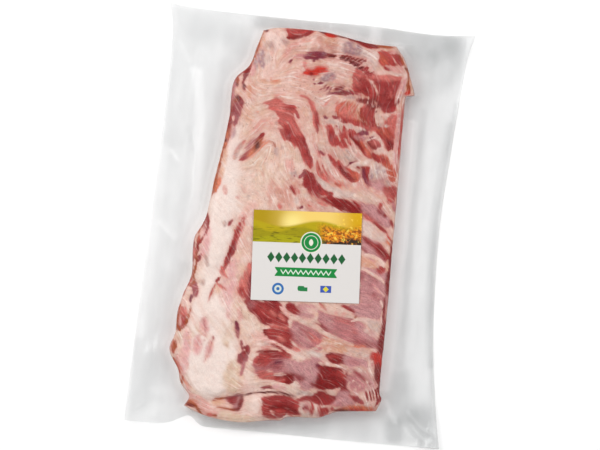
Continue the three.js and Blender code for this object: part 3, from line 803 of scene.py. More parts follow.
# The white fat left of the label, its long slit and the thin dark edge.
LEFT_OF_LABEL = (
    band(RUST, 0.9, -92.5, 6, -93, 0, -95, -8, -98, -16),
    band(MAUVE, 1, -92, 1, -92.3, -6, -93, -13, cover=0.6),
    band(WINE, 1.1, -91, 4, -89.5, -4, -90, -12, -93, -20, -97, -26),
    band(EMBER, 1.6, -97, -18, -98, -25),
    band(GRAPE, 0.8, -101.5, -14, -101.5, -25, -100, -34, -101, -46, -99.5, -57, cover=0.9),
    band(DEEP, 1.1, -97.5, -26, -97, -35),
    band(ROSE, 1.1, -99.5, -30, -98.5, -40, cover=0.8),
    band(RUST, 0.8, -98, -35, -97, -45, -98.5, -57),
    band(GRAPE, 2, -93.5, -35.5, -95.5, -42),
    band(PINK, 2.4, -89.5, -12, -90.5, -36, cover=0.9, soft=5),
    band(ASH, 0.6, -89, -36, -86, -45),
    band(BRICK, 1.6, -99.5, -58, -103, -64, -106, -69, -106.5, -76),
    band(RUST, 0.9, -98, -58, -97, -62, -101, -67),
    area(GRAPE, -99.5, -66, -96, -61, -93.5, -66, -92.5, -73, -94, -77.5, -97, -76, -98.5, -71),
    band(PLUM, 1.1, -99, -75, -98.8, -82),
    band(ASH, 2.2, -91, -64, -89, -61, cover=0.5, soft=3),
    area(ROSE, -109, -88, -104, -87, -101, -94, -102, -102, -106, -104, -108.5, -98, cover=0.8),
    area(RED, -109, -99, -104, -96, -100.5, -100, -103, -108, -107.5, -108.5),
    band(PINK, 0.8, -107.5, -96, -106, -105),
    band(RUST, 1.2, -108, -85, -111, -90, -110, -97, -110.5, -104, -108, -109, -104.5, -108.5),
    band(RUST, 0.8, -98, -85, -98.5, -92, -100, -100, -103, -107, cover=0.8),
    band(PINK, 2.4, -99.5, -108, -98.5, -122, -98.5, -145, cover=0.85, soft=4),
    band(EMBER, 2.6, -110, -120, -110.5, -126, -110.5, -131),
    band(RUST, 1.4, -109, -121, -109.8, -128),
    band(GRAPE, 1.2, -67, 0, -70, -6, soft=3),
    band(ASH, 0.8, -74, -3, -73.5, -6, cover=0.8),
    band(BLUSH, 0.8, -60, 2, -57.5, 6, -55, 3),
    area(BRICK, -55, 3, -56, -6, -59.5, -18, -60.5, -28, -64.5, -36, -68.5, -46, -72, -51, -73, -48,
         -69.5, -37, -66.5, -27, -65, -18, -63, -8, -59.5, 1),
    band(RED, 2, -61, -10, -63, -20, -69, -43, -71.5, -50, soft=3),
    band(DEEP, 1.9, -62.8, -23, -65, -31, -68, -40, soft=3),
    band(WINE, 0.8, -58, -1, -61, -12, cover=0.8),
    band(BLUSH, 0.7, -57, 2, -58, -7),
    band(ROSE, 1.4, -73.5, -46, -71, -51, -66, -55, cover=0.85, soft=3),
    band(PINK, 3.6, -63, -42, -63, -60, -66, -78, cover=0.7, soft=8),
    band(PINK, 0.9, -63, -50, -62, -64, -63, -78, -62, -92, soft=3),
    band(WINE, 1.4, -73, -55, -76.5, -60),
    band(BRICK, 1, -77, -63, -80, -71, -82, -80),
    band(PEACH, 1.8, -74.5, -64, -77.5, -74, cover=0.8, soft=4),
    band(ROSE, 0.9, -75, -61.5, -70, -65, -66, -67.5),
    area(ROSE, -49, -42, -43, -38, -41, -46, -42.5, -72, -47, -75.5, -52, -73, -55.5, -66, -55, -58,
         -51, -50, soft=10),
    area(ROSE, -48, -50, -44, -48, -43, -60, -44, -73, -51, -71, -54, -64, soft=5),
    band(RED, 3, -53, -65, -49, -70, soft=3),
    band(GRAPE, 1.3, -44.2, -50, -43, -72),
    area(WHITE, -93, -78, -78, -74, -66, -80, -62, -95, -66, -112, -80, -116, -92, -108, cover=0.6, soft=8),
    band(PINK, 2.6, -84, -99, -82.5, -110, soft=4),
    band(MAUVE, 1.7, -84.5, -97, -83, -104, -81, -112, cover=0.6, soft=3),
    band(PINK, 2.8, -88, -116, -88, -128, soft=4),
    band(MAUVE, 1, -88, -117, -88.5, -127, cover=0.5, soft=3),
    spot(GRAPE, 1, -82.4, -117, cover=0.6),
    spot(WHITE, 1.2, -84, -114.5),
    band(GRAPE, 1.1, -74, -112.5, -74.4, -118, cover=0.7, soft=3),
    band(PINK, 2, -76, -120, -77.5, -130, soft=4),
    band(MAUVE, 0.9, -75, -119, -76.5, -127, -80, -137, cover=0.7, soft=3),
)

# The red muscles under the label's lower edge and the bands right of them.
BELOW_LABEL = (
    area(WINE, -48, -76, -41, -74, -30, -72, -18, -72, -9, -80, -3, -86, -4.5, -92, -1.5, -98, 1, -103,
         -2, -108, 3, -114, 1, -117, -8, -114.5, -15, -111, -23, -109, -27.5, -104, -24, -100, -22, -97,
         -27, -96.5, -33, -91.5, -38, -87, -45, -84),
    band(RED, 3, -34, -79, -24, -86, -14, -94, cover=0.7, soft=5),
    band(MAUVE, 2.4, -42, -78, -38, -79, cover=0.7, soft=3),
    band(DEEP, 2.4, -21, -82, -14, -88, cover=0.6, soft=4),
    band(ROSE, 0.7, -21.5, -83, -17, -86.5, cover=0.8),
    band(ROSE, 0.8, -13, -85.5, -8, -90, cover=0.9),
    band(ROSE, 0.8, -20, -96.5, -10, -97.5, -4, -96.5),
    band(RED, 3.6, -20, -102, -8, -102, 0, -108, cover=0.6, soft=5),
    band(DEEP, 0.8, -26, -101, -25.5, -107.5),
    spot(BLUSH, 1.4, -27, -106),
    band(ROSE, 0.8, -12, -107, -5, -111, cover=0.8),
    band(BLUSH, 1, -52, -84, -49.5, -94, soft=2.5),
    spot(CREAM, 1.7, -48, -74.5),
    band(GRAPE, 1, -46, -72, -43.5, -75),
    band(GRAPE, 2.1, -54, -95, -52, -104, -50, -111.5),
    band(PLUM, 0.8, -53.5, -96, -50.5, -104),
    band(GRAPE, 1.5, -47, -113.5, -46, -119),
    area(GRAPE, -46, -120, -38.5, -118.5, -38, -125, -40, -133, -43.5, -136, -49, -134, -49, -128,
         -45.5, -124),
    band(WINE, 1.5, -41, -121, -42, -127),
    spot(BLUSH, 1.2, -43.5, -122.5, cover=0.8),
    band(MAUVE, 1.3, -42.5, -135, -43, -141, -44.5, -147),
    band(BLUSH, 1.4, -27, -109.5, -16, -112.5, -8, -117, -2, -120),
    band(WINE, 1.3, -18, -114, -10, -116.5, -4, -120),
    band(ROSE, 2, -28, -118.5, -18, -117.5, cover=0.7, soft=3),
    band(ASH, 1.6, -27, -113, -21, -114, cover=0.5, soft=3),
    area(RED, -34, -134, -31.5, -125, -21, -121.5, -8, -119.5, 0, -121, 4, -123, 0, -126, -6, -129,
         -12, -131, -18, -134, -22, -140, -29, -141),
    area(MAUVE, -33, -136, -26, -138, -20, -140, -21, -148, -28, -147, -32, -142, cover=0.7, soft=5),
    band(DEEP, 0.7, -32, -122.6, -24, -121.8, -12, -120),
    band(WINE, 2.4, -22, -126, -8, -124, cover=0.6, soft=4),
    area(WINE, -9, -74, -1, -73, 3, -78, 5, -82, 0, -83.5, -6, -80),
    band(BLUSH, 1.7, -14, -78, -6, -84, -1, -88),
    band(CREAM, 2.3, -2, -86, 8, -89, 17, -89, 22, -84, 21, -78, soft=2.5),
    band(CREAM, 1.6, -2, -90, -2, -97),
    band(PALE, 3, 12, -76, 20, -80, cover=0.5, soft=4),
    band(BRICK, 1, 24, -71, 28, -74, 31, -77),
    area(CREAM, 31, -73, 42, -71, 50, -74, 57, -78, 58, -81, 48, -81, 40, -81.5, 33, -79, soft=2.5),
    spot(BLUSH, 1.4, 41, -79),
    spot(BLUSH, 1.4, 48, -79),
    spot(RUST, 1.1, 59, -81.3),
    area(BRICK, 40, -86, 54, -87, 64, -96, 70, -102, 56, -100, 44, -94, cover=0.3, soft=8),
    band(DUSK, 2.6, 24, -82, 30, -86, 36, -91, cover=0.7, soft=5),
    band(DUSK, 2.6, 62, -89, 70, -95, 80, -103, cover=0.6, soft=5),
    *fan(PEARL, 0.5, (70, -91, 77, -95), (76, -94, 83, -100), 3, 0.7),
    band(GRAPE, 0.9, 20, -89, 27, -92, 34, -97, cover=0.8, soft=2.6),
    band(PALE, 0.9, 55, -85, 64, -82.5, 72, -81),
    area(PEARL, 71, -82, 79, -81, 83, -86, 84, -93, 78, -92, 72, -88, soft=2),
    band(PALE, 1.1, 68, -91, 76, -96, 82, -100, cover=0.8),
    band(DUSK, 1.8, 71, -92, 80, -97),
    band(CREAM, 1.3, 17, -93, 26, -97, 36, -101, 48, -104, 60, -107.5, soft=2),
    band(AMBER, 0.9, 30, -101.5, 38, -104.5, 48, -107, 60, -108.6, 70, -107.4, cover=0.5, soft=2.4),
    band(GRAPE, 1.6, 56, -102.5, 70, -104, 82, -106, cover=0.6, soft=3),
    band(DUSK, 3.4, 2, -97, 10, -102, 16, -110, cover=0.8, soft=5),
    area(ROSE, 20, -98, 30, -103, 32, -110, 25, -113, 18, -106, cover=0.3, soft=6),
    *fan(PEARL, 0.6, (6, -94, 14, -99, 22, -106), (1, -101, 8, -108, 16, -114), 4, 0.5),
    band(CREAM, 1.3, 20, -116, 26, -112, 33, -108, cover=0.7, soft=3),
    *fan(PEARL, 0.6, (30, -81, 42, -84, 52, -86), (28, -86, 38, -93, 48, -98), 3, 0.4),
    *fan(PEARL, 0.7, (66, -88, 76, -94), (64, -95, 78, -103), 3, 0.5),
    *fan(GRAPE, 0.6, (1, -101, 8, -106, 12, -110), (7, -96, 14, -100, 20, -105), 3, 0.4),
    area(PEACH, 31, -104, 44, -106, 58, -110, 54, -116, 44, -117, 34, -116, 30, -110, cover=0.8),
    band(AMBER, 1.8, 33, -113, 38, -111, cover=0.5, soft=3),
    band(CREAM, 2.6, 56, -111, 66, -112, 80, -110, soft=3),
    band(PEARL, 2.6, 56, -116, 68, -117, 76, -116, soft=3),
    spot(ASH, 1.2, 67, -115),
    area(DEEP, 34, -118, 42, -116.5, 52, -117.5, 59, -120, 60, -125, 50, -127, 40, -126),
    band(RED, 1.2, 38, -120, 48, -119.5, cover=0.8, soft=2.5),
    area(DUSK, 54, -119, 64, -119.5, 74, -121, 80, -125, 74, -128, 64, -127.5, 55, -126),
    band(MAUVE, 1.6, 56, -123, 66, -124, cover=0.7, soft=3),
    band(BRICK, 1.5, 31, -126, 35, -129, cover=0.8),
    band(PALE, 2.1, -10, -114, -1, -119, 7, -123, 15, -124.5, soft=2.5),
    band(ROSE, 2, 3, -115, 9, -118, soft=3),
    band(WINE, 1.4, -6, -112.5, 1, -115.5),
    band(PEARL, 3, 20, -119, 28, -121, soft=4),
    band(DUSK, 1.8, 22, -123, 30, -126, soft=3),
)

# Tissue at the wide end, down to the flaps below the long crack.
NEAR_END = (
    area(MAUVE, -15, -131, -4, -127.5, 10, -127, 18, -125.5, 27, -128, 30, -134, 30.5, -142, 25, -146,
         25, -152, 14, -155, 8, -151, 14, -144, 8, -140, -6, -141, -18, -140, cover=0.85, soft=2.5),
    area(DUSK, 2, -129, 27, -129, 29, -142, 24, -151, 16, -153, 14, -142, 4, -139, cover=0.9, soft=6),
    band(GRAPE, 2.2, -16, -135, -8, -133, cover=0.5, soft=5),
    *fan(PEARL, 0.5, (2, -130, 7, -138), (20, -130, 25, -142), 4, 0.5),
    band(PLUM, 1, -12, -131, -6, -129, cover=0.7),
    spot(PLUM, 1.3, 28, -130),
    area(DEEP, -15, -144, -6, -142.5, 3, -140, 12, -141, 15, -144, 8, -146, 4, -150, -4, -153, -13, -150),
    band(RED, 2.6, -10, -149, -3, -147, cover=0.8, soft=3),
    band(GRAPE, 1.3, 9, -142.5, 13, -145),
    band(MAUVE, 2.4, 8, -144, 10, -148, cover=0.7, soft=3),
    # a painted highlight: a greyish glint on the dark red muscle
    band(PALE, 1.4, 7, -147, 9, -151, 12, -151),
    area(BRICK, -28, -142, -20, -140.5, -14, -142, -13, -148, -18, -150, -26, -147, cover=0.9, soft=2.5),
    area(DEEP, 28.5, -131, 33, -129.8, 42, -130.5, 52, -131, 58, -134, 61, -139, 57.5, -143, 58, -148,
         63, -153, 52, -154, 51, -149, 46, -150.5, 38, -152.5, 30, -152, 24, -147, 30, -142),
    band(RED, 2, 44, -133, 54, -139, cover=0.6, soft=3),
    band(BLUSH, 0.9, 52, -131, 54, -135),
    spot(BLUSH, 1, 57.5, -135),
    band(CREAM, 1.5, 30, -127.5, 40, -128.5, 52, -128.5, 58, -130),
    area(PEARL, 59, -130, 70, -127, 79, -130, 84, -140, 85, -149, 74, -152, 64, -154, 60, -146, 61, -138),
    area(DUSK, 58, -130, 70, -132, 82, -140, 84, -149, 72, -151, 62, -151, cover=0.45, soft=6),
    area(MAUVE, 60, -136, 66, -134, 72, -138, 74, -145, 70, -151, 63, -150, 60, -144, cover=0.6, soft=6),
    band(DUSK, 2.4, 72, -130, 78, -136, 82, -143, cover=0.5, soft=5),
    band(GRAPE, 0.7, 62, -131, 71, -137, 79, -143, cover=0.6, soft=1.6),
    *(spot(PALE, 1.4, x, y, 0.7) for x, y in ((63, -141), (70, -146), (76, -141), (66, -149), (78, -149))),
    band(BRICK, 1.8, 78.5, -113, 79, -120, soft=3),
    area(BLOOD, 80, -113, 86, -111, 87.5, -119, 87, -127, 82.5, -125, 80, -119),
    band(PALE, 1.1, 76, -120, 77, -126, 80, -131),
    band(DEEP, 2.6, 85, -123, 84.6, -131, 86, -141),
    area(DEEP, 84.5, -89, 86.8, -85, 88, -100, 88, -112, 85, -112, 83.2, -105, soft=2),
    band(DEEP, 0.9, 85, -60, 85, -78, 86, -88, soft=1.4),
    band(PALE, 0.5, 83.2, -70, 83.6, -84, soft=1),
    band(DEEP, 1.2, 88, -128, 88.6, -142, 89.4, -152, soft=1.6),
    band(CLARET, 1.2, 83.5, -126, 84, -135),
    band(PINK, 1.5, 84, -141, 85, -148),
    band(DEEP, 1.3, 86, -146, 86.5, -157),
    *fan(DEEP, 0.9, (76, -150, 79.5, -160), (87.5, -146, 90.5, -158), 5),
    *fan(PALE, 0.5, (78, -150, 81, -160), (86.5, -147, 89, -158), 4),
    band(WINE, 1.2, 90.6, -153, 88, -160, 86.5, -163),
    band(CREAM, 3.6, -28, -151, -12, -152, 4, -155, 14, -156, soft=3),
    band(CREAM, 2.4, 22, -155, 30, -153.5, cover=0.7, soft=3),
    band(GRAPE, 2, -24, -157, -18, -155, -12, -156, cover=0.8),
    band(PINK, 2.2, -12, -154, -2, -156, cover=0.6, soft=3),
    band(SHADED_SLIT, 0.8, -33, -162.5, -22, -160.6, -10, -159.4, 0, -159.8, 11, -161.8),
    band(SHADED_SLIT, 1.5, -58, -170, -50, -168.3, -45, -166, -38, -164.8),
    band(RUST, 0.8, -68, -172.6, -58, -170),
    band(SHADED_SLIT, 0.9, -38, -164.8, -32, -162.6),
    band(ASH, 1, 12, -158, 18, -157, 24, -158.5, cover=0.8),
    area(WINE, 8, -167, 14, -162.5, 24, -159, 31, -154.5, 38, -154, 45, -157.5, 52, -157, 48, -163,
         43, -166.5, 32, -167, 24, -165),
    band(CREAM, 2.4, 39, -155, 49, -154, soft=2.5),
    spot(DEEP, 1.8, 49.5, -158.6),
    area(DUSK, 50, -154, 58, -153, 64, -157, 67, -163, 58, -166.5, 46, -166, 50, -161),
    band(MAUVE, 1.8, 45, -167, 54, -163, cover=0.7, soft=3),
    band(MAUVE, 3, 52, -158, 60, -158, 68, -157, cover=0.6, soft=4),
    band(WINE, 2, 62, -155.5, 68, -158.5, 74, -161.5),
    band(GRAPE, 1, 68, -156, 71, -160, cover=0.8),
    band(PEARL, 1.8, 76, -160, 84, -160, cover=0.9),
    band(EMBER, 1.9, 48, -171, 58, -169, 68, -167.4, 78, -167.6, 86, -166.5),
    band(AMBER, 1, 58, -168.2, 66, -166, 82, -165),
    band(BLOOD, 0.7, 62, -168.2, 74, -167.4, cover=0.8),
    band(SHADED_SLIT, 0.7, 48, -171.6, 58, -170.8, 70, -170.8, cover=0.8),
    area(RED, -21.5, -167, -12, -163.5, 0, -162, 10, -164.5, 14, -169, 13, -174, 17, -179, 9, -180,
         4, -177.5, 0, -183, -10, -185.5, -19, -184, -21.5, -178),
    band(WINE, 3.4, -16, -168, -4, -166, 6, -168, cover=0.7, soft=4),
    band(DEEP, 2, -13, -174.5, -4, -172.5, 5, -173.5, 14, -177.5),
    band(BLUSH, 0.9, -13, -177, -9, -181, cover=0.9),
    band(PALE, 1.6, 4, -180, 0, -184),
    area(PEARL, 15, -167, 22, -165.5, 25, -168, 24, -176, 20, -178.5, 15.5, -174),
    area(MAUVE, 17, -168, 23, -167, 24, -174, 20, -177, 17, -173, cover=0.6, soft=4),
    band(GRAPE, 0.7, 18, -172.5, 20, -170.5, 22, -172, cover=0.9),
    band(RED, 1.9, 26, -167, 27, -177.5),
    band(PALE, 0.9, 29, -168, 31.5, -176),
    area(RED, 32, -170, 38, -169, 46, -168.5, 46, -173, 41, -175.5, 36, -179, 32, -178),
    *fan(BLUSH, 0.5, (33, -170, 34, -177), (41, -169, 44, -173), 2),
    band(PALE, 3.6, -29, -168, -27, -178, soft=4),
    band(SAND, 2.6, -60, -186, -42, -187.5, -28, -188, cover=0.8, soft=3),
    area(DUSK, -54, -170, -40, -167, -41.5, -180, -46, -180.5, -50, -176, cover=0.8, soft=4),
    area(WINE, -55, -170, -49, -168.5, -45.5, -168, -47, -173, -50, -174.5),
    band(CLARET, 1.3, -41, -167, -42, -174, -43.5, -180),
    band(CLARET, 0.8, -51, -179.8, -43, -180),
    band(RUST, 0.8, -66, -179, -56, -179.6, -47, -181, cover=0.7),
    band(PEACH, 2.6, -66, -175, -58, -174, cover=0.7, soft=3),
    area(AMBER, -93, -177, -88, -173, -82, -175, -76, -180, -70, -187, -76, -189, -84, -183, -92, -181,
         cover=0.6, soft=4),
    band(BLUSH, 3.4, -82, -178, -74, -183, -68, -185, cover=0.8, soft=4),
    band(RUST, 1.6, -95, -180.5, -91, -177.5, -87, -179.6, -84, -179),
    band(CLARET, 0.8, -92, -179.4, -87, -180),
    band(RUST, 1, -84, -182, -80.5, -185, -78.5, -188.5),
    band(ROSE, 1.4, -73, -187, -68, -187),
    band(RUST, 1.1, -67, -188, -64, -187),
    band(AMBER, 1.8, -98, -156, -95, -159, -91, -162, cover=0.6, soft=3),
    band(RUST, 1, -99.4, -153, -100, -161),
    band(RUST, 0.8, -110, -136, -105, -145, -101.5, -153),
    band(ROSE, 1.4, -107, -135, -102, -145, -98, -153, cover=0.35, soft=3),
    band(PINK, 2.8, -105, -133, -98, -146, cover=0.6, soft=4),
    band(BLUSH, 1.1, -94, -163, -90, -170, -80, -172.5, -72, -178, cover=0.9),
)


class Canvas:
    """Regular net of points over the rack, on which the tissues are laid.

    Attributes:
        x, y: places of the points, in millimetres.
        ribs: 1 on the side where the ribs lie under the surface, 0 on the other.
        along, across: how far each lies along the meat's grain and across it, in millimetres.
        strand, streak: noise from 0 to 1, drawn out along the grain.
        ragged: how far the borders of tissues stray, across and along, in millimetres.
        fat, lean: colours of the two layers.
        mask: share of lean.
        rise: height of the tissue over the plain surface, in millimetres.
    """

    STEP = 0.75  # between neighbours, mm
    LOW, HIGH = (-124.0, -202.0), (104.0, 198.0)
    ASLANT = 0.25  # how far the line between ribs and belly leans to the left, for each step along
    STEEP, FLAT = -80.0, -27.0  # course of the grain on the left and on the ribs, degrees
    TURNED = math.radians(75)  # courses past this point the other way
    STEER, STEER_FADE = 14, 6  # how far a tissue steers the grain, mm
    STRAND, STRAND_LENGTH = 2.2, 7  # width of a strand, mm, and how much longer it is
    STREAK, STREAK_LENGTH = 3.0, 6
    FRAYED, SWAY, SWAY_SIZE = 9.0, 2.4, 5.0  # how far borders fray along the grain and sway, mm
    LEAST_LOOSE = 0.15  # share of that which even the thinnest band shows
    THIN = 1.4  # half width up to which a band keeps its sharp sides, mm

    def __init__(self) -> None:
        """Lays every tissue."""
        sides = [np.arange(low, high, self.STEP) for low, high in zip(self.LOW, self.HIGH)]
        self.x, self.y = np.meshgrid(*sides)
        self.ribs = ramp(self.x + self.ASLANT * self.y, -4, 24)
        patches = (*BROAD_FIELDS, *FAR_END, *SECOND_ROW, *THIRD_ROW, *UPPER_LEFT, *ABOVE_LABEL,
                   *LEFT_OF_LABEL, *BELOW_LABEL, *NEAR_END)
        self.comb(patches)
        self.ground()
        for patch in patches:
            self.lay(patch)
        self.soften()
        for patch in patches:
            if 0 < patch.half <= self.THIN:
                self.lay(replace(patch, cover=0.5 * patch.cover))
        self.tone()

    def comb(self, patches: Sequence[Patch]) -> None:
        """Gives the meat its grain, and the streaks and ragged borders that follow it.

        Args:
            patches: the tissues, which steer it.
        """
        angle = self.courses(patches)
        course = np.stack([np.cos(angle), np.sin(angle)])
        self.along = self.unrolled(course)
        self.across = self.unrolled(np.stack([-course[1], course[0]]))
        drawn = self.along / self.STRAND_LENGTH
        strand = Noise(Seed.STRANDS).layered(drawn, self.across, self.STRAND) - 0.5
        self.strand = strand + 0.5
        drawn = self.along / self.STREAK_LENGTH
        streak = Noise(Seed.STREAKS).layered(drawn, self.across + 40, self.STREAK) - 0.5
        self.streak = np.clip(0.5 + 1.4 * streak, 0, 1)
        seeds = Seed.SWAY_X, Seed.SWAY_Y
        sway = [Noise(seed).layered(self.x, self.y, self.SWAY_SIZE) - 0.5 for seed in seeds]
        self.ragged = [way * strand * self.FRAYED + shift * self.SWAY for way, shift in zip(course, sway)]

    def ground(self) -> None:
        """Lays the mottled fat under the patches, with streaks of lean on the ribs' side."""
        shape = (*self.x.shape, 3)
        self.fat = np.broadcast_to(CREAM.tint, shape).copy()
        tinges = ((BLUSH, Seed.BLUSH, 0.5, 16), (SAND, Seed.SAND, 0.6, 11), (WHITE, Seed.WHITE, 0.45, 9))
        for tissue, seed, most, size in tinges:
            cloud = ramp(Noise(seed).layered(self.x, self.y, size), 0.45, 0.72)[..., None]
            self.fat = mix(self.fat, tissue.tint, most * cloud)
        dusky = ramp(-self.y, 20, 60)[..., None]
        self.lean = mix(BRICK.tint, DUSK.tint, dusky) * np.ones(shape)
        self.mask = 0.12 * self.ribs + 0.03
        self.rise = np.zeros(self.x.shape)

    def soften(self) -> None:
        """Lets the tissues run into each other, as under a film."""
        self.fat = mix(self.fat, ROSE.tint, 0.45 * blurred(self.mask, 14)[..., None])
        vague = ramp(Noise(Seed.VAGUE).layered(self.x, self.y, 20), 0.35, 0.65)
        self.mask = mix(self.mask, blurred(self.mask, 6), 0.3 + 0.5 * vague)
        spread = np.stack([blurred(self.lean[..., k], 8) for k in range(3)], axis=-1)
        self.lean = mix(self.lean, spread, 0.5)

    def tone(self) -> None:
        """Darkens and reddens the fat at the far end and over the ribs."""
        dull = np.maximum(ramp(self.y, 20, 130), self.ribs * (0.4 + 0.5 * ramp(-self.y, 60, 110)))
        self.fat = self.fat * mix(1.0, FLESH.tint / CREAM.tint, 0.5 * dull[..., None])
        shade = ramp(self.x, -16, 10) * np.maximum(ramp(self.y, 5, 30), ramp(-self.y, 60, 100))
        self.fat = self.fat * (1 - 0.13 * shade[..., None])

    def around(self, patch: Patch, reach: float) -> tuple[Array, Array]:
        """Indices of the points that lie near a patch.

        Args:
            patch: the patch.
            reach: how far out they are taken, in millimetres.

        Returns:
            Their rows and columns.
        """
        points = np.array(patch.line.points)
        low, high = points.min(axis=0) - reach, points.max(axis=0) + reach
        return np.nonzero((self.x > low[0]) & (self.x < high[0]) & (self.y > low[1]) & (self.y < high[1]))

    def courses(self, patches: Sequence[Patch]) -> Array:
        """Direction of the grain, steered by the patches.

        Args:
            patches: the tissues.

        Returns:
            Angles from X, in radians.
        """
        plain = 2 * np.radians(mix(self.STEEP, self.FLAT, ramp(self.x + self.ASLANT * self.y, -62, 6)))
        turn = np.stack([np.cos(plain), np.sin(plain)]) * 0.2
        for patch in patches:
            near = self.around(patch, self.STEER)
            depth, angle = patch.depth(self.x[near], self.y[near])
            fade = np.exp(-((np.minimum(depth, 0) / self.STEER_FADE) ** 2))
            weight = fade * (0.2 if patch.line.closed else 0.8)
            turn[0][near] += weight * np.cos(2 * angle)
            turn[1][near] += weight * np.sin(2 * angle)
        angle = 0.5 * np.arctan2(blurred(turn[1], 30), blurred(turn[0], 30))
        return np.where(angle > self.TURNED, angle - math.pi, angle)

    def unrolled(self, course: Array) -> Array:
        """The smooth field that comes nearest to growing by one per millimetre along some directions.

        Args:
            course: the directions, across first.

        Returns:
            Distances in millimetres.
        """
        mean = course.mean(axis=(1, 2))
        rest = course - mean[:, None, None]
        spread = np.gradient(rest[0], self.STEP, axis=1) + np.gradient(rest[1], self.STEP, axis=0)
        mirrored = np.block([[spread, spread[:, ::-1]], [spread[::-1], spread[::-1, ::-1]]])
        waves = [2 * np.cos(2 * np.pi * np.fft.fftfreq(count)) - 2 for count in mirrored.shape]
        bend = (waves[0][:, None] + waves[1]) / self.STEP**2
        bend[0, 0] = math.inf
        smooth = np.real(np.fft.ifft2(np.fft.fft2(mirrored) / bend))
        return smooth[: self.x.shape[0], : self.x.shape[1]] + mean[0] * self.x + mean[1] * self.y

    def lay(self, patch: Patch) -> None:
        """Lays one patch over what is there. Where it covers in part, it lies in streaks.

        Args:
            patch: the patch.
        """
        near = self.around(patch, patch.half + patch.soft + 6)
        closed, recipe = patch.line.closed, patch.tissue.value
        breadth = np.ptp(np.array(patch.line.points), axis=0).min() / 30 if closed else patch.half / 4
        loose = min(max(breadth, self.LEAST_LOOSE), 1.0)
        x, y = (place[near] + loose * shift[near] for place, shift in zip((self.x, self.y), self.ragged))
        depth, _ = patch.depth(x, y)
        depth += 5 * loose * (self.strand[near] - 0.5) if closed else 0.0
        layer, share = (self.lean, self.mask[near]) if recipe.lean else (self.fat, 1 - self.mask[near])
        streaks = ramp(self.streak[near], 0.7 - patch.cover, 1.3 - patch.cover)
        blend = ramp(depth, -patch.soft, patch.soft * 0.2) * mix(1.0, streaks, share * (patch.cover < 1))
        layer[near] += (patch.tissue.tint - layer[near]) * blend[:, None]
        cover = ramp(depth, -patch.soft / 2, patch.soft / 2) * patch.cover
        self.mask[near] += ((1.0 if recipe.lean else 0.0) - self.mask[near]) * cover
        self.rise[near] += (recipe.rise - self.rise[near]) * cover

    def read(self, values: Array, x: Array, y: Array) -> Array:
        """Values of a field of this net at any places.

        Args:
            values: the field.
            x: places across in millimetres, one-dimensional.
            y: places along.

        Returns:
            One value or colour for each place.
        """
        rows, columns = self.x.shape
        across = np.clip((x - self.LOW[0]) / self.STEP, 0, columns - 1.001)
        return looked_up(values, across, np.clip((y - self.LOW[1]) / self.STEP, 0, rows - 1.001))


class Surface:
    """Heights of the meat and of the film that clings to it, on a net in the shares s and t."""

    COLUMNS, ROWS = 190, 350
    ACROSS, ALONG = (0.012, 0.988), (0.006, 0.994)  # stretch of the outline that the net reads, as shares
    FILM = 0.35  # mm from the meat to the film's outside
    SKY = 0.1  # where the rays start, m
    MISSED = 15.0  # height where a ray meets nothing, mm
    TISSUES, STRANDS, LUMPS = 2.0, 0.8, 1.4  # shares of the relief
    LUMP = 5.5  # size of a lump, mm
    SUNK = 0.15  # how far the meat lies lower under the label, mm
    TIGHTENED = 14  # rounds in which the film is drawn tight

    def __init__(self, canvas: Canvas) -> None:
        """Takes the heights from the frame's own pouch and adds the tissues' relief.

        Args:
            canvas: net with the tissues.
        """
        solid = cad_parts["pouch"].data
        tree = BVHTree.FromPolygons([v.co for v in solid.vertices], [p.vertices for p in solid.polygons])
        shares = np.linspace(*self.ACROSS, self.COLUMNS + 1), np.linspace(*self.ALONG, self.ROWS + 1)
        s, t = np.meshgrid(*shares)
        place = RACK_OUTLINE.at(s, t)
        heights = np.zeros(s.shape)
        for j in range(0, self.ROWS + 1, 2):
            for i in range(0, self.COLUMNS + 1, 2):
                heights[j, i] = self.height(tree, *place[j, i])
        heights[1::2] = (heights[:-1:2] + heights[2::2]) / 2
        heights[:, 1::2] = (heights[:, :-1:2] + heights[:, 2::2]) / 2
        x, y = place[..., 0], place[..., 1]
        bed = self.under_label(x, y)
        lumps = Noise(Seed.LUMPS).layered(canvas.x, canvas.y, self.LUMP) - 0.5
        relief = self.TISSUES * blurred(canvas.rise, 1) + self.STRANDS * (canvas.strand - 0.5)
        relief += self.LUMPS * lumps
        relief = canvas.read(relief, x.ravel(), y.ravel()).reshape(x.shape)
        self.meat = blurred(heights, 5) - self.FILM + relief * (1 - bed) - self.SUNK * bed
        self.film = self.taut(self.meat) + self.FILM

    def height(self, tree: BVHTree, x: float, y: float) -> float:
        """Height of the pouch's upper side at a place, in millimetres."""
        hit = tree.ray_cast(Vector((x * MM, y * MM, self.SKY)), Vector((0, 0, -1)))[0]
        return hit.z / MM if hit else self.MISSED

    @staticmethod
    def under_label(x: Array, y: Array) -> Array:
        """1 under the label, falling to 0 a little outside it.

        Args:
            x: places across, in millimetres.
            y: places along.

        Returns:
            Shares from 0 to 1.
        """
        across, up = Label.own_place(x, y)
        outside = np.maximum(np.abs(across) - Label.WIDTH / 2, np.abs(up) - Label.HEIGHT / 2)
        return 1 - ramp(outside, 0.5, 7)

    def taut(self, meat: Array) -> Array:
        """The surface of a film drawn tight over the meat.

        Args:
            meat: heights of the meat.

        Returns:
            Heights of the film.
        """
        film = meat.copy()
        for _ in range(self.TIGHTENED):
            film = np.maximum(blurred(film, 1), meat)
        return blurred(film, 1)

    def read(self, heights: Array, s: Array, t: Array) -> Array:
        """Heights at any shares, one-dimensional."""
        return looked_up(heights, np.clip(s, 0, 1) * self.COLUMNS, np.clip(t, 0, 1) * self.ROWS)


# ---------------------------------------------------------------- shells


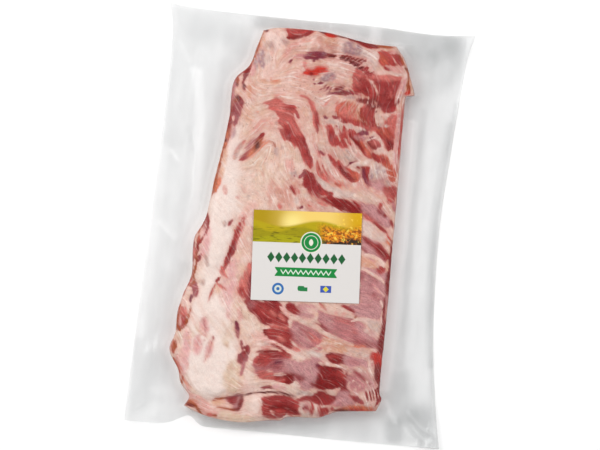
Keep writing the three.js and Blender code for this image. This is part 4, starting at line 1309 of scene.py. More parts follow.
def put_in_order(work: bmesh.types.BMesh) -> None:
    """Sorts the faces by their vertices, because some operators leave them in another order each run.

    Args:
        work: mesh to sort.
    """
    work.verts.index_update()
    faces = sorted(work.faces, key=lambda face: sorted(vertex.index for vertex in face.verts))
    rank = {face: number for number, face in enumerate(faces)}
    work.faces.sort(key=rank.get)


@dataclass(frozen=True)
class Ring:
    """One loop of vertices round the rack's rim.

    Attributes:
        reach: distance out from the rim in millimetres, for a loop of the wall.
        part: share of the way from the wall's foot to the pouch's edge, for a loop of the margin.
        height: share of the rim's height above the foot.
        lower: whether it belongs to the lower film.
    """

    reach: float = 0.0
    part: float | None = None
    height: float = 0.0
    lower: bool = False


@dataclass
class Shell:
    """A closed skin: a fine net above, loops round its rim, and a coarser net below.

    Attributes:
        name: name of the piece.
        columns: cells of the upper net across.
        rows: cells of the upper net along.
        rings: loops from the rim down and round to the underside.
        under_columns: cells of the lower net across.
        under_rows: cells of the lower net along.
    """

    name: str
    columns: int
    rows: int
    rings: tuple[Ring, ...]
    under_columns: int
    under_rows: int

    KEYS = ("s", "t", "ring")  # what is noted on the vertices while the piece is made

    def place(self, s: Array, t: Array, ring: Array) -> Array:
        """Places of vertices in millimetres; each piece gives its own."""
        raise NotImplementedError

    def net(self, work: bmesh.types.BMesh, columns: int, rows: int, ring: int) -> list[bmesh.types.BMVert]:
        """Adds a flat net and notes each vertex's shares.

        Args:
            work: mesh to add to.
            columns: cells across.
            rows: cells along.
            ring: number noted on its vertices.

        Returns:
            The net's vertices.
        """
        s, t, number = (work.verts.layers.float[key] for key in self.KEYS)
        made = bmesh.ops.create_grid(work, x_segments=columns, y_segments=rows, size=0.5)["verts"]
        for vertex in made:
            vertex[s], vertex[t], vertex[number] = vertex.co.x + 0.5, vertex.co.y + 0.5, ring
        return made

    def build(self) -> bpy.types.Object:
        """Makes the mesh.

        Returns:
            The piece, at the origin, with the shares kept as attributes.
        """
        work = bmesh.new()
        s, t, ring = (work.verts.layers.float.new(key) for key in self.KEYS)
        self.net(work, self.columns, self.rows, 0)
        loop = [edge for edge in work.edges if edge.is_boundary]
        for number in range(1, len(self.rings) + 1):
            made = bmesh.ops.extrude_edge_only(work, edges=loop)["geom"]
            for item in made:
                if isinstance(item, bmesh.types.BMVert):
                    item[ring] = number
            loop = [item for item in made if isinstance(item, bmesh.types.BMEdge) and item.is_boundary]
        self.net(work, self.under_columns, self.under_rows, len(self.rings) + 1)
        values = np.array([(v[s], v[t], v[ring]) for v in work.verts])
        for vertex, place in zip(work.verts, self.place(*values.T) * MM):
            vertex.co = place
        bmesh.ops.bridge_loops(work, edges=[edge for edge in work.edges if edge.is_boundary])
        bmesh.ops.recalc_face_normals(work, faces=work.faces)
        put_in_order(work)
        mesh = bpy.data.meshes.new(self.name)
        work.to_mesh(mesh)
        work.free()
        mesh.shade_smooth()
        piece = bpy.data.objects.new(self.name, mesh)
        bpy.context.scene.collection.objects.link(piece)
        return piece

    @staticmethod
    def note(piece: bpy.types.Object, name: str, values: Array) -> None:
        """Stores one value or colour per vertex on a piece.

        Args:
            piece: the piece.
            name: the attribute's name.
            values: numbers, or rows of red, green and blue.
        """
        kind, key = ("FLOAT_COLOR", "color") if values.ndim == 2 else ("FLOAT", "value")
        if values.ndim == 2:
            values = np.hstack([values, np.ones((len(values), 1))])
        stored = piece.data.attributes.new(name, kind, "POINT")
        stored.data.foreach_set(key, values.astype(np.float32).ravel())

    def noted(self, piece: bpy.types.Object) -> tuple[Array, Array, Array, Array]:
        """Takes back what was noted on a piece's vertices.

        Args:
            piece: the piece.

        Returns:
            The shares s and t, the ring number, and the places in millimetres.
        """
        count = len(piece.data.vertices)
        columns = []
        for key in self.KEYS:
            values = np.zeros(count, np.float32)
            piece.data.attributes[key].data.foreach_get("value", values)
            piece.data.attributes.remove(piece.data.attributes[key])
            columns.append(values)
        places = np.zeros(count * 3, np.float32)
        piece.data.vertices.foreach_get("co", places)
        return (*columns, places.reshape(-1, 3) / MM)

    def posts(self, s: Array, t: Array) -> tuple[Array, Array, Array]:
        """For vertices on the rim: their places, the pouch's edge beside them, and the width between."""
        rim, edge = RACK_OUTLINE.at(s, t), POUCH_OUTLINE.at(s, t)
        return rim, edge, np.hypot(*(edge - rim).T)


@dataclass
class Rack(Shell):
    """The meat itself."""

    name: str = "rack"
    columns: int = 190
    rows: int = 350
    rings: tuple[Ring, ...] = tuple(Ring(0.85 - 6.2 * (k / 13 - 0.6) ** 2, height=k / 13)
                                    for k in range(12, 0, -1))
    under_columns: int = 84
    under_rows: int = 160
    surface: Surface | None = None

    BELOW = 0.7  # height of the underside, mm
    SHRINK = 0.965, 0.982  # share of the outline that the underside keeps, across and along
    UNEVEN = 0.9  # how far the wall swells and sinks, mm
    HOLLOW = 0.8  # depth of the hollows in the underside, mm
    SLANT = 0.8  # how far the tissues of the wall run aside, for each step down

    def place(self, s: Array, t: Array, ring: Array) -> Array:
        """Places of the meat's vertices.

        Args:
            s: shares across the outline.
            t: shares along it.
            ring: numbers of the loops, 0 for the upper net.

        Returns:
            Places in millimetres.
        """
        surface = self.surface
        out = np.zeros((len(s), 3))
        top, under = ring == 0, ring == len(self.rings) + 1
        out[top, :2] = RACK_OUTLINE.at(s[top], t[top])
        out[top, 2] = surface.read(surface.meat, s[top], t[top])
        rim, edge, width = self.posts(s, t)
        outward = (edge - rim) / np.maximum(width, 1)[:, None]
        lump = Noise(Seed.WALL).layered(rim[:, 0] * 1.1, rim[:, 1], 9) - 0.5
        for number, loop in enumerate(self.rings, 1):
            here = ring == number
            out[here, :2] = rim[here] + outward[here] * (loop.reach + self.UNEVEN * lump[here])[:, None]
            high = surface.read(surface.meat, s[here], t[here])
            out[here, 2] = mix(self.BELOW, high, loop.height)
        shares = (mix(0.5, share[under], kept) for share, kept in zip((s, t), self.SHRINK))
        out[under, :2] = RACK_OUTLINE.at(*shares)
        hollows = Noise(Seed.UNDERSIDE).layered(out[under, 0], out[under, 1], 18)
        inner = np.minimum.reduce([s[under], 1 - s[under], t[under] * 2, 2 - 2 * t[under]])
        out[under, 2] = self.BELOW + self.HOLLOW * ramp(hollows, 0.45, 0.8) * ramp(inner, 0, 0.06)
        return out

    def tissues(self, piece: bpy.types.Object, canvas: Canvas) -> None:
        """Gives the piece its tissues; those of the top run on down the wall, aslant.

        Args:
            piece: the built rack.
            canvas: net with the tissues.
        """
        s, t, ring, place = self.noted(piece)
        wall = (ring > 0) & (ring <= len(self.rings))
        rim, edge, width = self.posts(s[wall], t[wall])
        drop = self.surface.read(self.surface.meat, s[wall], t[wall]) - place[wall, 2]
        inward = (rim - edge) * (drop / np.maximum(width, 1))[:, None]
        place[wall, :2] = rim + inward + self.SLANT * inward[:, ::-1] * (1, -1)
        x, y = place[:, 0], place[:, 1]
        fields = {"fat": canvas.fat, "red": canvas.lean, "lean": canvas.mask, "along": canvas.along,
                  "across": canvas.across}
        fields = {name: canvas.read(values, x, y) for name, values in fields.items()}
        under = ring == len(self.rings) + 1
        for name, values in self.below(x[under], y[under]).items():
            fields[name][under] = values
        fields["lean"] = np.clip(fields["lean"], 0, 1)
        for name, values in fields.items():
            self.note(piece, name, values)

    @staticmethod
    def below(x: Array, y: Array) -> dict[str, Array]:
        """Tissues of the underside: the ribs as pale bands, with lean between them.

        Args:
            x: places across, in millimetres.
            y: places along.

        Returns:
            Values by the attribute's name.
        """
        bones = Bones.across(x, y)
        soft = Noise(Seed.BONES).layered(x, y, 14)
        bone_side = mix(DUSK.tint, PEARL.tint, ramp(bones, 0.25, 0.8)[:, None])
        return {
            "red": mix(ROSE.tint, bone_side, ramp(soft, 0.1, 0.5)[:, None]),
            "fat": mix(CREAM.tint, PALE.tint, soft[:, None]),
            "lean": 1 - ramp(bones, 0.2, 1.0) * (0.6 + 0.4 * soft) - ramp(-x, 55, 85),
        }


class Bones:
    """The row of ribs, as it shows from below."""

    COUNT, PITCH, FIRST = 13, 27.0, 158.0  # the ribs along the right side, mm
    SIDE, SLOPE, HALF = 88, 0.42, 7.5  # X of that side, rise per mm to the left, and half width

    @classmethod
    def across(cls, x: Array, y: Array) -> Array:
        """1 on a bone, falling to 0 between the bones.

        Args:
            x: places across, in millimetres.
            y: places along.

        Returns:
            Shares from 0 to 1.
        """
        swell = np.zeros(x.shape)
        for k in range(cls.COUNT):
            middle = cls.FIRST - cls.PITCH * k + cls.SLOPE * (cls.SIDE - x)
            swell = np.maximum(swell, np.exp(-(((y - middle) / cls.HALF) ** 2)))
        return swell


@dataclass(frozen=True)
class Fold:
    """A fold of the margin, with a stripe of painted reflection where it lightens the film and of painted
    shade where it darkens it.

    Attributes:
        line: where it runs.
        half: half width, mm.
        rise: height, mm.
        grey: how far its painted reflection lightens (below 0) or its painted shade darkens the film there.
    """

    line: Line
    half: float
    rise: float = 0.0
    grey: float = 0.0


def fold(half: float, rise: float, grey: float, *places: float) -> Fold:
    """A fold along a line."""
    return Fold(Line.through(*places), half, rise, grey)


# The folds' greys paint the reflections and the shade of the margin's folds into the film's haze.
FOLDS = (
    fold(7, 0.3, -0.045, -146, -115, -144, -40, -141, 30, -140, 60),
    fold(5, 0.5, -0.06, -114, 137, -108, 100, -104, 50, -103, 8, -110, -40),
    fold(5, -0.4, 0.03, -88, 150, -92, 110, -93, 60, -97, 20),
    fold(4, -0.3, 0, -132, -60, -136, -100, -142, -130),
    fold(5, -0.3, -0.02, -126, 60, -127, 0, -124, -50),
    fold(12, 0.4, 0.035, -120, 180, -90, 178, -70, 165),
    fold(2, 0.8, -0.045, -137, -9, -128, -17, -120, -24),
    fold(1.6, -0.5, -0.02, -135, -6, -126, -14, -120, -20),
    fold(2.2, 0.5, 0, -107, 160, -100, 151, -92, 143),
    fold(2.4, 0.4, -0.025, -135, 166, -129, 157, -124, 148),
    fold(1.6, 0.6, -0.06, -133, 61, -129, 57, -125, 52),
    fold(2, -0.5, 0.035, -118, 84, -113, 70, -109, 58),
    fold(14, 0.3, 0.025, -128, -140, -128, -165, -138, -180),
    fold(6, 0.9, -0.035, -139, -196, -130, -192, -124, -186),
    fold(5, 0.6, -0.025, -124, -170, -114, -168, -104, -172),
    fold(1.5, -0.6, 0.025, -141, -190, -134, -185),
    fold(5, 0.8, -0.12, 94.5, 108, 95.5, 50, 96.5, 0, 95.5, -60, 94.5, -145),
    fold(5, -0.5, 0.065, 104, 120, 104, 50, 104, 0, 105, -60, 106, -120),
    fold(6, 0.5, -0.005, 136, 148, 123, 105, 115, 50, 113, 0, 117, -60, 123, -110, 127, -145),
    fold(4, -0.3, 0.055, 131, 110, 126, 50, 125, 0, 128, -60, 136, -120),
    fold(4, -0.2, 0.1, 138, 130, 133, 60, 129, 0, 134, -80, 146, -170),
    fold(10, -0.3, 0.105, 108, -135, 112, -160, 116, -170),
    fold(9, -0.3, 0.15, 106, -180, 108, -190),
    fold(2, 0.9, -0.08, 97, -158, 101, -168, 106, -178),
    fold(16, -0.2, 0.13, 70, 192, 100, 186, 120, 190),
    fold(9, -0.3, 0.09, 84, 176, 98, 166, 108, 172),
    fold(14, 0.2, 0.08, 112, 150, 124, 165, 130, 185),
    fold(7, 0.2, 0.12, -60, 192, -20, 193, 40, 191),
    fold(10, 0.2, 0.055, 60, -186, 80, -188),
    fold(9, 0.3, 0.075, -70, -195, -20, -192, 40, -188),
    fold(15, 0.2, 0.165, 132, -172, 140, -188, 146, -200),
    fold(1.5, 0.6, -0.055, 122, -178, 134, -190, 146, -196),
    fold(1.5, 0.6, -0.065, 118, -166, 130, -178, 143, -186),
    fold(1.3, -0.6, -0.03, 126, -182, 138, -193),
    fold(1.4, 0.5, -0.04, 116, -182, 124, -190, 132, -196),
)


@dataclass
class Film(Shell):
    """The pouch: a clear film that clings to the meat and lies double in the margin."""

    name: str = "film"
    columns: int = 110
    rows: int = 206
    rings: tuple[Ring, ...] = (
        Ring(0.7, height=0.84), Ring(1.2, height=0.62), Ring(1.9, height=0.36), Ring(3.2, height=0.14),
        Ring(5.2, height=0.04), Ring(8.0, height=0.0),
        *(Ring(part=k / 26) for k in range(1, 27)),
        *(Ring(part=k / 13, lower=True) for k in range(13, -1, -1)),
    )
    under_columns: int = 60
    under_rows: int = 112
    surface: Surface | None = None

    CLEAR = 0.3  # how far outside the meat's rim the film runs, mm
    GAP, GAP_OUT = 0.3, 0.12  # between the two films beside the wall and at the edge, mm
    WALL = 8.0  # reach of the wall, mm
    CLOSEST = 0.5  # most of a narrow margin that the wall takes
    SHRINK = 0.985, 0.992  # share of the rack's outline under which the film lies flat
    LOWEST, FLOOR = 0.25, 0.12  # heights of the lower film: least in the margin, and under the meat, mm
    NOTCH = (-90.0, 9.5)  # where the near edge is drawn in and how far, mm
    NOTCH_LEFT, NOTCH_RIGHT = 14, 8  # how far the drawing-in reaches to either side, mm
    NOTCH_FROM, NOTCH_TO = 184, 200  # distances from the middle over which it grows, mm
    CORNER, CORNER_FROM, CORNER_TO = 5, 1.18, 1.42  # rise of the corners, mm, and the shares where it grows
    LIFT = 2.4  # height of the lower film beside the wall, mm
    PLAIN = 0.105  # haze of the margin between its folds
    OVER_MEAT = 0.03  # haze of the film on the meat

    def drape(self, x: Array, y: Array, outward: Array) -> tuple[Array, Array]:
        """The lower film's height and the film's grey in the margin, which is the folds' painted reflection
        and shade.

        Args:
            x: places across, mm.
            y: places along, mm.
            outward: shares of the way to the pouch's edge.

        Returns:
            Heights in millimetres and greys from 0.
        """
        ripple = 1.3 + 0.8 * np.sin(x * 0.062 + 0.6) * np.cos(y * 0.047 - 0.4)
        ripple += 0.45 * np.sin(y * 0.11 + x * 0.05)
        corner = self.CORNER * ramp(np.hypot(x / 151, y / 201), self.CORNER_FROM, self.CORNER_TO)
        flat = 3 * np.exp(-(((x - self.NOTCH[0]) / 22) ** 2)) * ramp(-y, 178, 190)
        height = self.LIFT * (1 - outward) ** 2 + (0.3 + ripple + corner - flat) * outward
        grey = np.zeros(x.shape)
        bend = np.zeros(x.shape)
        for each in FOLDS:
            depth, _ = Patch(PALE, each.line, 0.0).depth(x, y)
            shape = np.exp(-np.abs(depth / each.half) ** 3)
            bend += each.rise * shape
            # painted reflection and shade of the fold
            grey += each.grey * shape
        crease = Noise(Seed.CREASES).layered(x, y * 0.35, 7) - 0.5
        height += (bend + 0.5 * crease) * ramp(outward, 0, 0.25) * (1 - 0.5 * ramp(outward, 0.8, 1))
        return np.maximum(height, self.LOWEST), grey

    def place(self, s: Array, t: Array, ring: Array) -> Array:
        """Places of the film's vertices.

        Args:
            s: shares across the rack's outline.
            t: shares along it.
            ring: numbers of the loops, 0 for the upper net.

        Returns:
            Places in millimetres.
        """
        out = np.zeros((len(s), 3))
        top, under = ring == 0, ring == len(self.rings) + 1
        out[top, :2] = RACK_OUTLINE.at(s[top], t[top])
        surface = self.surface
        out[top, 2] = surface.read(surface.film, s[top], t[top])
        rim, edge, width = self.posts(s, t)
        wall = np.minimum(self.WALL / width, self.CLOSEST)
        for number, loop in enumerate(self.rings, 1):
            here = ring == number
            part = loop.part or 0.0
            if loop.part is None:
                share = (loop.reach + self.CLEAR) / width[here] * (wall[here] * width[here] / self.WALL)
            else:
                share = mix(wall[here], 1.0, part)
            out[here, :2] = mix(rim[here], edge[here], share[:, None])
            low, _ = self.drape(out[here, 0], out[here, 1], np.full(here.sum(), part))
            high = low + (0 if loop.lower else mix(self.GAP, self.GAP_OUT, part))
            if loop.part is None:
                high = mix(high, surface.read(surface.film, s[here], t[here]), loop.height)
            out[here, 2] = high
        away = out[:, 0] - self.NOTCH[0]
        reach = np.where(away < 0, self.NOTCH_LEFT, self.NOTCH_RIGHT)
        near_edge = ramp(-out[:, 1], self.NOTCH_FROM, self.NOTCH_TO)
        pull = self.NOTCH[1] * np.exp(-((away / reach) ** 2)) * near_edge
        out[:, 1] += np.where(top, 0, pull)
        shares = (mix(0.5, share[under], kept) for share, kept in zip((s, t), self.SHRINK))
        out[under, :2] = RACK_OUTLINE.at(*shares)
        out[under, 2] = self.FLOOR
        return out

    def clarity(self, piece: bpy.types.Object) -> None:
        """Gives the piece its haze: little over the meat, more where two films meet, with the folds'
        painted reflection and shade, and a painted whitish highlight where the reflection is strongest.

        Args:
            piece: the built film.
        """
        _, _, ring, place = self.noted(piece)
        x, y = place[:, 0], place[:, 1]
        walls = sum(loop.part is None for loop in self.rings)
        _, grey = self.drape(x, y, np.ones(len(x)))
        mottle = Noise(Seed.MOTTLE).layered(x, y * 0.5, 12) - 0.5
        streak = Noise(Seed.CLING).layered(x, y * 0.12, 3.5) - 0.5
        # haze with the folds' painted reflection and shade; where the reflection takes it below the least
        # haze, the rest is laid on as a painted whitish highlight
        haze_and_fold_shading = self.PLAIN + 0.8 * grey + 0.03 * mottle + 0.03 * streak
        bright = np.clip(0.02 - haze_and_fold_shading, 0, 0.3) * 2.5
        margin = np.clip(haze_and_fold_shading, 0.02, 0.6) + bright
        haze = np.where((ring > walls) & (ring <= len(self.rings)), margin, self.OVER_MEAT)
        wall = (ring > 0) & (ring <= walls)
        haze[wall] = mix(self.OVER_MEAT, margin[wall], (ring[wall] / walls) ** 1.5)
        self.note(piece, "haze", haze)
        # gleam: the share of painted highlight in the haze
        self.note(piece, "gleam", np.where(ring > 0, bright / margin, 0.0))


class Label:
    """The paper label stuck on the pouch."""

    WIDTH, HEIGHT, THICKNESS = 103.2, 85.8, 0.22
    X, Y = 6.7, -27.8  # its middle
    TURN = math.radians(3.6)
    COLUMNS, ROWS = 103, 86
    WAVE = 0.12  # how far it lifts and sinks, mm

    @classmethod
    def own_place(cls, x: Array, y: Array) -> tuple[Array, Array]:
        """The label's own places, from its middle, of places in the frame."""
        dx, dy, cosine, sine = x - cls.X, y - cls.Y, math.cos(cls.TURN), math.sin(cls.TURN)
        return dx * cosine + dy * sine, dy * cosine - dx * sine

    def build(self, surface: Surface) -> bpy.types.Object:
        """Makes the label.

        Args:
            surface: what it lies on. Not used.

        Returns:
            The piece, with shares of its width and height as the UV map "print".
        """
        work = bmesh.new()
        bmesh.ops.create_grid(work, x_segments=self.COLUMNS, y_segments=self.ROWS, size=0.5, calc_uvs=True)
        bmesh.ops.scale(work, vec=(self.WIDTH * MM, self.HEIGHT * MM, 1), verts=work.verts)
        bmesh.ops.solidify(work, geom=work.faces, thickness=self.THICKNESS * MM)
        bmesh.ops.recalc_face_normals(work, faces=work.faces)
        put_in_order(work)
        low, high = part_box("label")
        middle = (low.z + high.z) / 2
        across, up = (np.array([v.co[k] for v in work.verts]) / MM for k in (0, 1))
        x = self.X + across * math.cos(self.TURN) - up * math.sin(self.TURN)
        y = self.Y + across * math.sin(self.TURN) + up * math.cos(self.TURN)
        wave = self.WAVE * (Noise(Seed.PAPER).layered(x, y, 22) - 0.5)
        lift = np.array([v.co.z for v in work.verts])
        lift -= (lift.max() + lift.min()) / 2
        for vertex, px, py, z, bend in zip(work.verts, x, y, lift, wave):
            vertex.co = (px * MM, py * MM, middle + z + bend * MM)
        mesh = bpy.data.meshes.new("paper_label")
        uv = work.loops.layers.uv.verify()
        order = {vertex: k for k, vertex in enumerate(work.verts)}
        for face in work.faces:
            for loop in face.loops:
                k = order[loop.vert]
                loop[uv].uv = (across[k] / self.WIDTH + 0.5, up[k] / self.HEIGHT + 0.5)
        work.to_mesh(mesh)
        work.free()
        mesh.uv_layers[0].name = "print"
        piece = bpy.data.objects.new("paper_label", mesh)
        bpy.context.scene.collection.objects.link(piece)
        return piece


# ---------------------------------------------------------------- finishes


class Signal:
    """A shader socket that adds Math nodes as it is used in an expression."""

    def __init__(self, shader: "Shader", socket: bpy.types.NodeSocket | None) -> None:
        """Wraps a socket of a shader."""
        self.shader, self.socket = shader, socket

    def sum_of(self, operation: str, *values: Any) -> "Signal":
        """One Math node on values, this socket among them."""
        return self.shader.node("ShaderNodeMath", {"operation": operation}, dict(enumerate(values)))

    def __add__(self, other: Any) -> "Signal":
        """Adds."""
        return self.sum_of("ADD", self, other)

    __radd__ = __add__

    def __mul__(self, other: Any) -> "Signal":
        """Multiplies."""
        return self.sum_of("MULTIPLY", self, other)

    __rmul__ = __mul__

    def __sub__(self, other: Any) -> "Signal":
        """Takes a value off."""
        return self.sum_of("SUBTRACT", self, other)

    def __rsub__(self, other: Any) -> "Signal":
        """Takes this off a value."""
        return self.sum_of("SUBTRACT", other, self)

    def __truediv__(self, other: Any) -> "Signal":
        """Divides."""
        return self.sum_of("DIVIDE", self, other)

    def __abs__(self) -> "Signal":
        """Size without the sign."""
        return self.sum_of("ABSOLUTE", self)

    def most(self, other: Any) -> "Signal":
        """The larger of two."""
        return self.sum_of("MAXIMUM", self, other)

    def power(self, other: Any) -> "Signal":
        """Raises to a power."""
        return self.sum_of("POWER", self, other)

    def step(self, low: float, high: float) -> "Signal":
        """Smooth step from low to high."""
        settings = {"interpolation_type": "SMOOTHSTEP", "clamp": True}
        return self.shader.node("ShaderNodeMapRange", settings, {0: self, 1: low, 2: high, 3: 0.0, 4: 1.0})


class Shader:
    """The node tree of one finish, ending in one Principled shader."""

    def __init__(self, name: str) -> None:
        """Makes an empty material.

        Args:
            name: the material's name.
        """
        self.material = bpy.data.materials.new(name)
        self.material.use_nodes = True
        self.tree = self.material.node_tree
        self.tree.nodes.clear()

    def node(self, kind: str, settings: dict[str, Any], values: dict[Any, Any], output: Any = 0) -> Signal:
        """Adds a node.

        Args:
            kind: Blender's name of the node's type.
            settings: properties, set before anything else.
            values: numbers, colours or signals by input.
            output: the output that is handed back.

        Returns:
            That output.
        """
        made = self.tree.nodes.new(kind)
        for key, value in settings.items():
            setattr(made, key, value)
        for key, value in values.items():
            socket = made.inputs[key]
            if isinstance(value, Signal):
                self.tree.links.new(value.socket, socket)
            elif socket.type == "RGBA":
                socket.default_value = (*value[:3], 1.0)
            else:
                socket.default_value = value
        return Signal(self, made.outputs[output] if made.outputs else None)

    def attribute(self, name: str, output: str = "Fac") -> Signal:
        """A value or colour stored on the piece."""
        return self.node("ShaderNodeAttribute", {"attribute_name": name}, {}, output)

    def place(self, scale: tuple[float, ...] = (1, 1, 1), move: tuple[float, ...] = (0, 0, 0)) -> Signal:
        """Object coordinates, stretched and moved."""
        own = self.node("ShaderNodeTexCoord", {}, {}, "Object")
        return self.node("ShaderNodeMapping", {}, {"Vector": own, "Scale": scale, "Location": move})

    def noise(self, scale: float, place: Signal, detail: float = 3.0, roughness: float = 0.55) -> Signal:
        """Noise from 0 to 1 on some coordinates."""
        values = {"Vector": place, "Scale": scale, "Detail": detail, "Roughness": roughness}
        return self.node("ShaderNodeTexNoise", {}, values)

    def blend(self, share: Any, low: Any, high: Any, kind: str = "MIX") -> Signal:
        """Mixes two colours."""
        settings = {"data_type": "RGBA", "blend_type": kind}
        return self.node("ShaderNodeMix", settings, {0: share, 6: low, 7: high}, 2)

    def grey(self, value: Signal) -> Signal:
        """A colour with one value in its three channels."""
        return self.node("ShaderNodeCombineColor", {}, {0: value, 1: value, 2: value})

    def bump(self, height: Signal, strength: float, distance: float) -> Signal:
        """A normal bent by a height."""
        values = {"Height": height, "Strength": strength, "Distance": distance}
        return self.node("ShaderNodeBump", {}, values)

    def finish(self, inputs: dict[str, Any]) -> bpy.types.Material:
        """Ends the tree in a Principled shader.

        Args:
            inputs: its inputs by name.

        Returns:
            The material.
        """
        principled = self.node("ShaderNodeBsdfPrincipled", {}, inputs)
        self.node("ShaderNodeOutputMaterial", {}, {"Surface": principled})
        return self.material


@dataclass(frozen=True)
class MeatFinish:
    """Raw meat: fat and lean with a ragged border, fibres in the lean, a moist gloss, and painted highlight
    streaks along the grain.
    """

    fat_rough: float = 0.42
    lean_rough: float = 0.3
    coat: float = 0.05
    gain: float = 0.98
    mottles: tuple[tuple[str, float], ...] = (("d89c8f", 0.4), ("dcae8e", 0.4), ("f0e0d5", 0.4),
                                              ("c49c92", 0.35))
    # colour of the pale strands in the lean, which also carry a painted sheen
    marbling_and_sheen: str = "d9a198"
    stained: str = "cf857a"
    threads: str = "c07f74"
    veins: str = "c98579"
    # colour of the painted highlight streaks on the fat, a painted sheen of the wet film
    sheen_streaks: str = "f6eae3"
    specks: str = "a07468"

    def material(self) -> bpy.types.Material:
        """Builds the material, in millimetres along and across the grain and in plain ones."""
        sh = Shader("raw_meat")
        along, across = sh.attribute("along"), sh.attribute("across")

        def drawn(length: float, width: float, shift: float) -> Signal:
            """Noise drawn out along the grain, spread over 0 to 1."""
            place = sh.node("ShaderNodeCombineXYZ", {}, {0: along / length, 1: across / width, 2: shift})
            return (sh.noise(1.0, place, 2.5) - 0.5) * 2.4 + 0.5

        def lumpy(size: float, detail: float = 3.0, shift: float = 0.0) -> Signal:
            """Noise with features of a size in millimetres, spread over 0 to 1."""
            return (sh.noise(1 / (size * MM), sh.place(move=(shift, 0, 0)), detail) - 0.5) * 2.2 + 0.5

        strand, thread = drawn(11, 1.9, 0.0), drawn(6, 0.7, 3.7)
        # the first mask draws painted highlight streaks along the grain; in the lean they are pale strands
        # as well
        pale_streak_and_sheen, vein = drawn(17, 1.3, 9.1).step(0.62, 0.98), drawn(15, 2.3, 12.7).step(0.58, 1.0)
        curd, cloud, fine = lumpy(4.0), lumpy(13), lumpy(1.3)
        share = sh.attribute("lean")
        border = share * 1.3 + (strand - 0.5) * 0.6 + (thread - 0.5) * 0.45 - 0.15
        crisp = lumpy(9, 2).step(0.3, 0.7)
        mask = border.step(0.2, 0.8) * crisp + border.step(0.0, 1.05) * (1.0 - crisp)
        shade = 1.0 + (thread - 0.5) * 0.42 + (strand - 0.5) * 0.3
        shade += (cloud - 0.5) * 0.1 + (fine - 0.5) * 0.4
        lean = sh.blend(1.0, sh.attribute("red", "Color"), sh.grey(shade), "MULTIPLY")
        # pale strands of the lean, with a painted sheen on them
        lean = sh.blend(pale_streak_and_sheen * 0.35, lean, linear(self.marbling_and_sheen))
        own = sh.attribute("fat", "Color")
        fat = sh.blend(share * 0.75, own, linear(self.stained))
        even = sh.node("ShaderNodeSeparateColor", {}, {0: own}, 1).step(0.5, 0.64)
        uneven = 1.0 - even * 0.75
        for seed, (code, most) in enumerate(self.mottles):
            cloudy = lumpy(4.2, 1.5, 0.1 * seed) * 0.6 + drawn(13, 3.4, 20.3 + 7 * seed) * 0.4
            fat = sh.blend(cloudy.step(0.4, 1.0) * most * uneven, fat, linear(code))
        drawn_out = uneven * (lumpy(16, 2, 0.5).step(0.3, 0.75) * 0.8 + 0.2)
        specks = lumpy(2.2, 1.0, 0.7).step(0.78, 1.05) * lumpy(12, 1.0, 0.9).step(0.35, 0.75)
        marks = (
            (strand.step(0.55, 1.0) * 0.3 * drawn_out, self.threads),
            (vein * 0.45 * drawn_out, self.veins),
            # painted highlight streaks on the fat
            (pale_streak_and_sheen * 0.5 * drawn_out, self.sheen_streaks),
            (specks * 0.6 * uneven, self.specks),
        )
        for field, code in marks:
            fat = sh.blend(field, fat, linear(code))
        depth = 1.0 + (thread - 0.5) * 0.2 * uneven + (fine - 0.5) * 0.14
        fat = sh.blend(1.0, fat, sh.grey(depth), "MULTIPLY")
        colour = sh.blend(mask, fat, lean)
        colour = sh.blend(1.0, colour, (self.gain,) * 3, "MULTIPLY")
        height = thread * 0.6 + strand * 0.6 + curd * 0.5 - mask * 0.5
        return sh.finish({
            "Base Color": colour,
            "Roughness": mask * (self.lean_rough - self.fat_rough) + self.fat_rough + (fine - 0.5) * 0.1,
            "Normal": sh.bump(height, 0.5, 0.0005),
            "Specular IOR Level": 0.14,
            "Coat Weight": self.coat,
            "Coat Roughness": 0.1,
        })


@dataclass(frozen=True)
class FilmFinish:
    """Clear film with a gloss, greyer where it is doubled and under the folds' painted shade, and whitish
    under painted highlights.
    """

    tint: str = "898d8e"
    # colour of the painted highlights on the margin
    bright: str = "f4f6f6"
    rough: float = 0.14
    ior: float = 2.6

    def material(self) -> bpy.types.Material:
        """Builds the material."""
        sh = Shader("clear_film")
        haze = sh.attribute("haze")
        fine = sh.noise(55, sh.place((1.0, 0.45, 1.0)), 5, 0.55)
        creases = 1.0 - abs(fine - 0.5) * 2.0
        height = creases.step(0.8, 1.0) * 0.4 + sh.noise(160, sh.place(), 2) * 0.6
        # the gleam turns the film whitish where a painted highlight lies
        return sh.finish({
            "Base Color": sh.blend(sh.attribute("gleam"), linear(self.tint), linear(self.bright)),
            "Roughness": self.rough + fine * 0.08,
            "Alpha": haze * (0.8 + fine * 0.4),
            "Normal": sh.bump(height, 0.25, 0.0008),
            "IOR": self.ior,
        })


